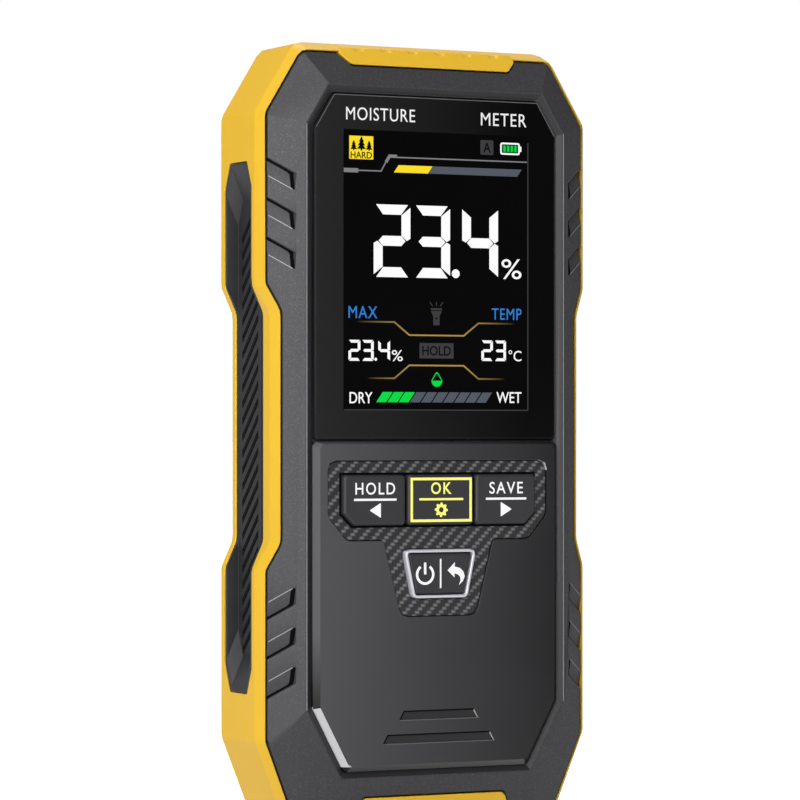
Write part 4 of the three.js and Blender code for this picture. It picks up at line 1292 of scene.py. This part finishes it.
def make_screen():
    """The display's black ground and everything that it shows."""
    black = screen_black()
    white = lit("lit_white", (1.0, 1.0, 1.0))
    yellow = lit("lit_yellow", (0.98, 0.74, 0.02))
    green = lit("lit_green", (0.0, 0.72, 0.06))
    blue = lit("lit_blue", (0.03, 0.22, 0.66))
    slate = lit("lit_slate", (0.085, 0.1, 0.125))
    grey = lit("lit_grey", (0.22, 0.22, 0.23))
    dim = lit("lit_dim", (0.045, 0.045, 0.048))
    deep = lit("lit_deep_green", (0.0, 0.1, 0.02))
    unlit = lit("unlit", (0.0006, 0.0006, 0.0006))

    ground = rectangle(SCREEN_LEFT, SCREEN_TOP - SCREEN_HEIGHT, -SCREEN_LEFT, SCREEN_TOP)
    film("screen_ground", [ground], black)
    face = GLASS_FACE - FILM - FILM_GAP
    over = face - FILM - FILM_GAP

    def show(name, shapes, material, level=face):
        film(name, shapes, material, level)

    def words(name, text, box, material, level=face, weight=0.004, spacing=1.0):
        lettering(name, text, screen_box(*box), material, level, weight=weight, spacing=spacing)

    # The edge of the picture on the right and along the bottom.
    wide, tall = SCREEN_WIDTH / MM, SCREEN_HEIGHT / MM
    edge = screen_points((wide - 0.12, 1.2), (wide - 0.12, tall - 0.12), (0.1, tall - 0.12))
    show("screen_edge", [band(edge, 0.2 * MM)], dim)

    # The timber kind.
    show("timber_badge", [rectangle(*screen_box(1.1, 1.1, 4.67, 4.05))], yellow)
    trees = tree_shapes(1.95, 3.65, 1.35, 1.75) + tree_shapes(3.45, 3.65, 1.8, 2.45)
    show("timber_trees", trees + tree_shapes(4.95, 3.65, 1.35, 1.75), unlit, over)
    words("timber_word", "HARD", (1.35, 3.85, 4.15, 1.15), unlit, over, 0.012)

    # The stepped rule and the bar under it.
    rule = screen_points((2.8, 7.1), (7.3, 7.1), (8.75, 4.6), (36.4, 4.6))
    show("stepped_rule", [band(rule, 0.22 * MM)], grey)
    thick = [rectangle(*screen_box(0.02, 6.75, 2.8, 0.75))]
    corner = screen_points((8.25, 5.5), (8.95, 4.42), (10.4, 4.42))
    show("rule_ends", thick + [band(corner, 0.55 * MM)], grey, over)
    show("bar_filled", [rectangle(*screen_box(9.8, 5.95, 7.65, 1.3), slant=0.95 * MM)], yellow)
    show("bar_rest", [rectangle(*screen_box(16.6, 5.95, 18.75, 1.3), slant=0.95 * MM)], slate)

    # The mode letter and the battery.
    show("mode_badge", [rounded(*screen_box(27.0, 0.95, 2.6, 2.6), 0.25 * MM)], dim)
    words("mode_letter", "A", (27.55, 1.35, 1.5, 1.8), unlit, over, 0.012)
    outer = rounded(*screen_box(31.0, 1.25, 3.95, 2.15), 0.4 * MM)
    inner = rounded(*screen_box(31.3, 1.55, 3.35, 1.55), 0.15 * MM)
    nub = rectangle(*screen_box(35.0, 1.85, 0.28, 0.95))
    show("battery_outline", [frame_of(outer, inner), nub], white)
    show("battery_well", [rectangle(*screen_box(31.4, 1.65, 3.15, 1.35))], deep)
    cell = rectangle(*screen_box(31.64, 1.8, 0.4, 1.05))
    row_of_films("battery_cells", [cell], green, 4, (0.74 * MM, 0, 0), over)

    # The reading.
    reading = number_shapes("234", (5.85, 13.72, 23.35), 12.9, 7.2, 12.7, 1.75, 0.09)
    show("reading", reading + [circle(*screen_points((22.05, 24.75))[0], 0.78 * MM)], white)
    words("reading_percent", "%", (31.25, 21.95, 4.05, 3.55), white, weight=0.0)

    # The highest reading and the temperature.
    words("highest_word", "MAX", (0.95, 30.75, 5.6, 2.1), blue, weight=0.0, spacing=1.1)
    words("temperature_word", "TEMP", (29.3, 30.75, 6.0, 2.0), blue, weight=0.0, spacing=1.1)
    highest = number_shapes("234", (0.95, 3.55, 6.75), 36.65, 2.3, 3.65, 0.5, 0.02)
    show("highest", highest + [circle(*screen_points((6.25, 40.0))[0], 0.26 * MM)], white)
    words("highest_percent", "%", (9.4, 38.35, 2.15, 1.95), white, weight=0.0)
    warmth = number_shapes("23", (27.2, 29.85), 36.45, 2.3, 3.65, 0.5, 0.02)
    show("temperature", warmth, white)
    words("temperature_unit", "°C", (32.7, 38.15, 2.6, 1.95), white, weight=0.0)

    # The two gilt rules that frame the held mark.
    centre = 18.25
    gilt = (0.42, 0.27, 0.07)
    for name, ends, shoulder, dip, outward in (
        ("upper_gilt_rule", 15.7, 8.35, 33.45, 35.7),
        ("lower_gilt_rule", 13.7, 8.35, 43.3, 41.0),
    ):
        waist = 5.4
        points = screen_points(
            (centre - ends, dip),
            (centre - shoulder, dip),
            (centre - waist, outward),
            (centre + waist, outward),
            (centre + shoulder, dip),
            (centre + ends, dip),
        )
        fade = (ends - waist) * MM
        glow = lit_fading("lit_" + name, gilt, SCREEN_LEFT + centre * MM, waist * MM, fade)
        show(name, [band(points, 0.26 * MM)], glow)
    show("held_badge", [rectangle(*screen_box(14.85, 37.05, 6.75, 2.7))], dim)
    words("held_word", "HOLD", (15.4, 37.55, 5.65, 1.7), unlit, over, 0.012)

    # The torch mark.
    x = 18.2
    torch = [
        screen_points((x - 1.1, 30.9), (x + 1.1, 30.9), (x + 1.1, 31.25), (x - 1.1, 31.25)),
        screen_points((x - 1.1, 31.4), (x + 1.1, 31.4), (x + 0.62, 32.3), (x - 0.62, 32.3)),
        screen_points((x - 0.62, 32.3), (x + 0.62, 32.3), (x + 0.62, 33.9), (x - 0.62, 33.9)),
    ]
    for lean in (-1, 0, 1):
        ray = screen_points((x + lean * 0.75, 30.55), (x + lean * 1.3, 29.8))
        torch.append(band(ray, 0.16 * MM))
    show("torch_mark", torch, dim)
    show("torch_switch", [circle(*screen_points((x, 32.7))[0], 0.2 * MM)], unlit, over)

    # The moisture bar, with a drop over its middle.
    drop = (18.3, 42.15, 2.15, 2.6)
    show("drop_outline", [frame_of(drop_outline(*drop), drop_outline(*drop, shrink=0.18))], green)
    water = [p for p in drop_outline(*drop, shrink=0.15) if p[1] < SCREEN_TOP - 43.45 * MM]
    show("drop_water", [water], green, over)
    words("dry_word", "DRY", (1.15, 45.75, 4.45, 1.95), white)
    words("wet_word", "WET", (30.25, 45.6, 5.05, 1.95), white)
    pitch, share = 2.2, 1.28
    one = rectangle(*screen_box(6.35, 45.7, pitch + share - 0.28, 1.8), slant=share * MM)
    row_of_films("moisture_cells", [one], green, 3, (pitch * MM, 0, 0), face)
    rest = [(px + 3 * pitch * MM, pz) for px, pz in one]
    row_of_films("moisture_rest", [rest], slate, 7, (pitch * MM, 0, 0), face)


# ---- Printing ----


def make_window_words():
    """The plain words above the display."""
    # The ink's glow is painted light that brightens the printed words.
    white = ink("window_ink", (0.8, 0.8, 0.8), 0.28)
    top = SCREEN_TOP / MM
    high, low = top + 3.9, top + 1.65
    left = SCREEN_LEFT / MM
    boxes = {"MOISTURE": (left + 0.5, left + 14.0), "METER": (-left - 9.6, -left - 0.4)}
    for word, (start, end) in boxes.items():
        box = tuple(v * MM for v in (start, low, end, high))
        lettering(f"window_{word.lower()}", word, box, white, weight=0.0, spacing=1.1)


def centre_of(node):
    low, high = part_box(node)
    return (low.x + high.x) / 2, (low.z + high.z) / 2, low.y


def key_print(name, shapes, paint, face, body):
    film(name, shapes, paint, face, body)


def make_key_legends():
    # The inks' glows are painted light that brightens the legends.
    white = ink("legend_white", (0.86, 0.86, 0.86), 0.35)
    lemon = ink("legend_lemon", (0.95, 0.93, 0.2), 0.3)

    _, _, face = centre_of("hold_key")
    row_top = window_low.z - KEY_ROW_BELOW_WINDOW
    for key, word, half, ruled in (
        ("hold", "HOLD", 3.87, 4.13),
        ("ok", "OK", 2.03, 4.35),
        ("save", "SAVE", 3.37, 4.07),
    ):
        x = centre_of(f"{key}_key")[0]
        paint = lemon if key == "ok" else white
        body = f"{key}_button"
        low, high = row_top - 3.42 * MM, row_top - 1.32 * MM
        box = (x - half * MM, low, x + half * MM, high)
        weight = 0.014 if key == "ok" else 0.007
        lettering(f"{key}_word", word, box, paint, face, body, weight, 1.2)
        rule = rectangle(x - ruled * MM, row_top - 4.5 * MM, x + ruled * MM, row_top - 4.11 * MM)
        key_print(f"{key}_rule", [rule], paint, face, body)
        z = row_top - 6.17 * MM
        if key == "ok":
            key_print("ok_gear", [gear_shape(x, z, 1.28 * MM)], paint, face, body)
            continue
        way = -1 if key == "hold" else 1
        tip, foot, reach = x + way * 1.12 * MM, x - way * 1.08 * MM, 1.3 * MM
        arrow = softened_outline([(tip, z), (foot, z + reach), (foot, z - reach)], 0.16 * MM)
        key_print(f"{key}_arrow", [arrow], paint, face, body)

    x, z, _ = centre_of("ok_key")
    edge = [(x - w * MM, z - h * MM, x + w * MM, z + h * MM) for w, h in ((6.07, 3.9), (5.6, 3.43))]
    box = frame_of(rectangle(*edge[0]), rectangle(*edge[1]))
    key_print("ok_frame", [box], lemon, face, "ok_button")

    make_power_legend(white)


def softened_outline(points, radius, steps=4):
    """The outline with each corner rounded by a short curve."""
    made = []
    count = len(points)
    for i, point in enumerate(points):
        here = Vector(point)
        ends = []
        for other in (points[i - 1], points[(i + 1) % count]):
            way = (Vector(other) - here).normalized()
            ends.append(here + way * radius)
        for k in range(steps + 1):
            t = k / steps
            made.append(tuple(ends[0] * (1 - t) ** 2 + here * 2 * t * (1 - t) + ends[1] * t * t))
    return made


def gear_shape(x, z, radius, teeth=8):
    outer, inner = [], []
    per_tooth = 8
    for i in range(teeth * per_tooth):
        turn = 2 * math.pi * i / (teeth * per_tooth)
        phase = i % per_tooth
        reach = radius if phase in (0, 1, 2, 7) else radius * 0.78
        outer.append((x + reach * math.sin(turn), z + reach * math.cos(turn)))
        inner.append((x + radius * 0.36 * math.sin(turn), z + radius * 0.36 * math.cos(turn)))
    return (outer, inner)


def make_power_legend(paint):
    x, z, _ = centre_of("power_key")
    # The cap's flat face is in front of its flange.
    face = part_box("power_key")[0].y
    body = "power_button"
    symbol = x - 3.02 * MM
    radius, opening = 1.6 * MM, math.radians(34)
    steps = 30
    turns = [opening + (2 * math.pi - 2 * opening) * i / steps for i in range(steps + 1)]
    arc = [(symbol + radius * math.sin(t), z - 0.1 * MM + radius * math.cos(t)) for t in turns]
    stem = [(symbol, z + 2.0 * MM), (symbol, z - 0.1 * MM)]
    shapes = [band(arc, 0.46 * MM), band(stem, 0.46 * MM)]
    key_print("power_mark", shapes, paint, face, body)
    divider = [(x + 0.05 * MM, z + 2.6 * MM), (x + 0.05 * MM, z - 2.55 * MM)]
    key_print("power_divider", [band(divider, 0.3 * MM)], paint, face, body)

    # The bent arrow: its head, then the outside of the tail to its end, and back along the inside.
    corners = (
        (1.42, 0.55),
        (2.9, 1.98),
        (2.82, 1.2),
        (3.85, 0.95),
        (4.55, 0.35),
        (4.84, -0.5),
        (4.5, -1.35),
        (3.65, -2.08),
        (4.02, -1.3),
        (3.95, -0.65),
        (3.5, -0.2),
        (2.78, 0.02),
        (2.82, -0.72),
    )
    arrow = [(x + across * MM, z + up * MM) for across, up in corners]
    key_print("back_mark", [arrow], paint, face, body)


# ---- The back ----


def make_screw_piece(name, radius, height, shank, shank_length):
    """A pan-head screw along +Y, its head's foot at the origin and a cross recess in its crown."""
    build = bmesh.new()
    profile = [
        (0.0, height * 0.45),
        (radius * 0.16, height * 0.45),
        (radius * 0.52, height * 0.98),
        (radius * 0.62, height),
        (radius * 0.9, height * 0.82),
        (radius, height * 0.5),
        (radius, 0.0),
        (shank, 0.0),
        (shank, -shank_length),
        (0.0, -shank_length),
    ]
    sides = 24
    rings = []
    for i, (reach, along) in enumerate(profile):
        if reach == 0.0:
            rings.append([build.verts.new((0.0, along, 0.0))])
            continue
        points = []
        for k in range(sides):
            turn = 2 * math.pi * k / sides
            # Between the arms of the cross the recess's wall comes in towards the middle.
            arm = 0.5 + 0.5 * math.cos(4 * turn)
            pull = 1.0 if i > 2 else 0.45 + 0.55 * arm**1.5
            x, z = reach * pull * math.cos(turn), reach * pull * math.sin(turn)
            points.append(build.verts.new((x, along, z)))
        rings.append(points)
    for first, second in zip(rings, rings[1:]):
        for k in range(sides):
            j = (k + 1) % sides
            corners = [first[k % len(first)], first[j % len(first)]]
            corners += [second[j % len(second)], second[k % len(second)]]
            build.faces.new(list(dict.fromkeys(corners)))
    return as_mesh(build, name)


def make_screws():
    """One tree sets a screw at every case screw's place."""
    nodes = [n for n in frame["nodes"] if n.startswith("case_screw_")]
    low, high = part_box(nodes[0])
    shank = 0.9 * MM
    head = 1.6 * MM
    one = make_screw_piece("screw_one", (high.x - low.x) / 2, head, shank, high.y - low.y - head)
    holder = placed("screw_one_work", one)
    places = []
    for node in nodes:
        low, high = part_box(node)
        places.append(((low.x + high.x) / 2, high.y - head, (low.z + high.z) / 2))
    points = bpy.data.meshes.new("screw_places")
    points.from_pydata(places, [], [])
    made = SPOTS.grow("case_screws", points, finishes["steel"], Piece=holder)
    bpy.data.objects.remove(holder)
    for face in made.polygons:
        face.use_smooth = True
    made.set_sharp_from_angle(angle=math.radians(40))
    add_piece("case_screws", made, finishes["steel"], "case", nodes)


def back_film(name, shapes, face):
    """A film on a surface that faces the back."""
    mesh = film_mesh(name, shapes, face)
    for v in mesh.vertices:
        v.co.y = 2 * face - v.co.y
    mesh.flip_normals()
    return mesh


def make_back_print():
    """Marks on the sensing pad and rules on the label, without words."""
    pale = ink("back_ink", (0.34, 0.34, 0.35))
    face = pad_high.y
    x = (pad_low.x + pad_high.x) / 2
    z = (pad_low.z + pad_high.z) / 2
    half = (pad_high.x - pad_low.x) / 2 - 4 * MM
    shapes = []
    for inset in (0.0, 4.5 * MM):
        reach = half - inset
        outer = rounded(x - reach, z - reach, x + reach, z + reach, 3 * MM)
        inner = rounded(
            x - reach + 0.35 * MM,
            z - reach + 0.35 * MM,
            x + reach - 0.35 * MM,
            z + reach - 0.35 * MM,
            2.65 * MM,
        )
        shapes.append(frame_of(outer, inner))
    add_piece("pad_marks", back_film("pad_marks", shapes, face), pale, "case")
    tick = band([(x, z + half - 1.4 * MM), (x, z + half + 1.4 * MM)], 0.35 * MM)
    middle = Vector((x, z))
    ticks = []
    for turn in range(4):
        spin = Matrix.Rotation(turn * math.pi / 2, 2)
        ticks.append([tuple(spin @ (Vector(point) - middle) + middle) for point in tick])
    add_piece("pad_ticks", back_film("pad_ticks", ticks, face), pale, "case")

    face = label_high.y
    left, right = label_low.x + 2 * MM, label_high.x - 2 * MM
    top = label_high.z - 2 * MM
    outer = rounded(left - 1 * MM, label_low.z + 1 * MM, right + 1 * MM, top + 1 * MM, 1 * MM)
    rim = 0.8 * MM
    inner = rounded(left - rim, label_low.z + 1.2 * MM, right + rim, top + rim, rim)
    border = back_film("label_border", [frame_of(outer, inner)], face)
    add_piece("label_border", border, pale, "case")
    dash = back_film("label_rule", [rectangle(left, top - 0.7 * MM, right - 9 * MM, top)], face)
    rules = ROW.grow("label_rules", dash, pale, Count=5, Step=(0, 0, -2.1 * MM))
    add_piece("label_rules", rules, pale, "case")


# ---- The parts inside ----


def dress_inside():
    """Every node that stays gets the finish of its record slot."""
    for node, thing in frame["nodes"].items():
        if not thing.hide_render:
            thing.data.materials.append(finishes[slots[node]])
            thing.data.polygons.foreach_set("material_index", [0] * len(thing.data.polygons))


# ---- The studio ----

CAMERA_PLACE = Vector((-0.3028, -0.5912, 0.0722))
CAMERA_TURN = math.radians(-27.02)


def make_camera():
    data = bpy.data.cameras.new("camera")
    data.lens = 167.02
    data.sensor_width = 36.0
    data.shift_y = 0.0439
    data.clip_start = 0.01
    data.clip_end = 50.0
    camera = placed("camera", data)
    camera.location = CAMERA_PLACE
    camera.rotation_euler = (math.pi / 2, 0, CAMERA_TURN)
    bpy.context.scene.camera = camera


def add_softbox(name, azimuth, elevation, distance, width, height, power):
    """A soft area light that faces the meter's middle. Azimuth 0 is in front, 90 to the right."""
    centre = (meter_low + meter_high) / 2
    a, e = math.radians(azimuth), math.radians(elevation)
    back = Vector((math.sin(a) * math.cos(e), -math.cos(a) * math.cos(e), math.sin(e)))
    data = bpy.data.lights.new(name, "AREA")
    data.shape = "RECTANGLE"
    data.size, data.size_y = width, height
    data.energy = power
    light = placed(name, data)
    light.location = centre + back * distance
    light.rotation_mode = "QUATERNION"
    light.rotation_quaternion = back.to_track_quat("Z", "Y")


def make_floor():
    """A wide sheet of white paper under the meter."""
    build = bmesh.new()
    bmesh.ops.create_grid(build, x_segments=8, y_segments=8, size=30.0)
    mesh = bpy.data.meshes.new("paper")
    build.to_mesh(mesh)
    build.free()
    floor = placed("paper", mesh)
    mesh.materials.append(studio_paper())


def make_studio():
    scene = bpy.context.scene
    scene.view_settings.view_transform = "Standard"
    world = bpy.data.worlds.new("studio")
    world.use_nodes = True
    sky = Graph(world.node_tree)
    sky.tree.nodes.clear()
    seen = sky.node("ShaderNodeLightPath", output="Is Camera Ray")
    strength = seen * 0.78 + 0.22
    glow = sky.node(
        "ShaderNodeBackground", {}, {"Color": (1.0, 1.0, 1.0, 1.0), "Strength": strength}
    )
    sky.node("ShaderNodeOutputWorld", {}, {"Surface": glow})
    scene.world = world
    make_floor()
    # Azimuth and elevation in degrees, distance, width and height in metres, power in watts.
    add_softbox("key_softbox", -50, 12, 1.2, 0.7, 0.5, 8.6)
    add_softbox("front_softbox", -38, 48, 1.3, 0.7, 0.5, 3.6)
    add_softbox("right_softbox", 130, 12, 1.4, 0.5, 1.7, 3.4)
    add_softbox("back_softbox", 165, 58, 1.5, 0.9, 0.7, 6.0)


make_camera()
make_case()
make_louvres()
make_grip_slots()
make_channel()
make_strip_shading()
make_key_outline()
make_keys()
make_screen()
make_window_words()
make_key_legends()
make_screws()
make_back_print()
dress_inside()
make_studio()
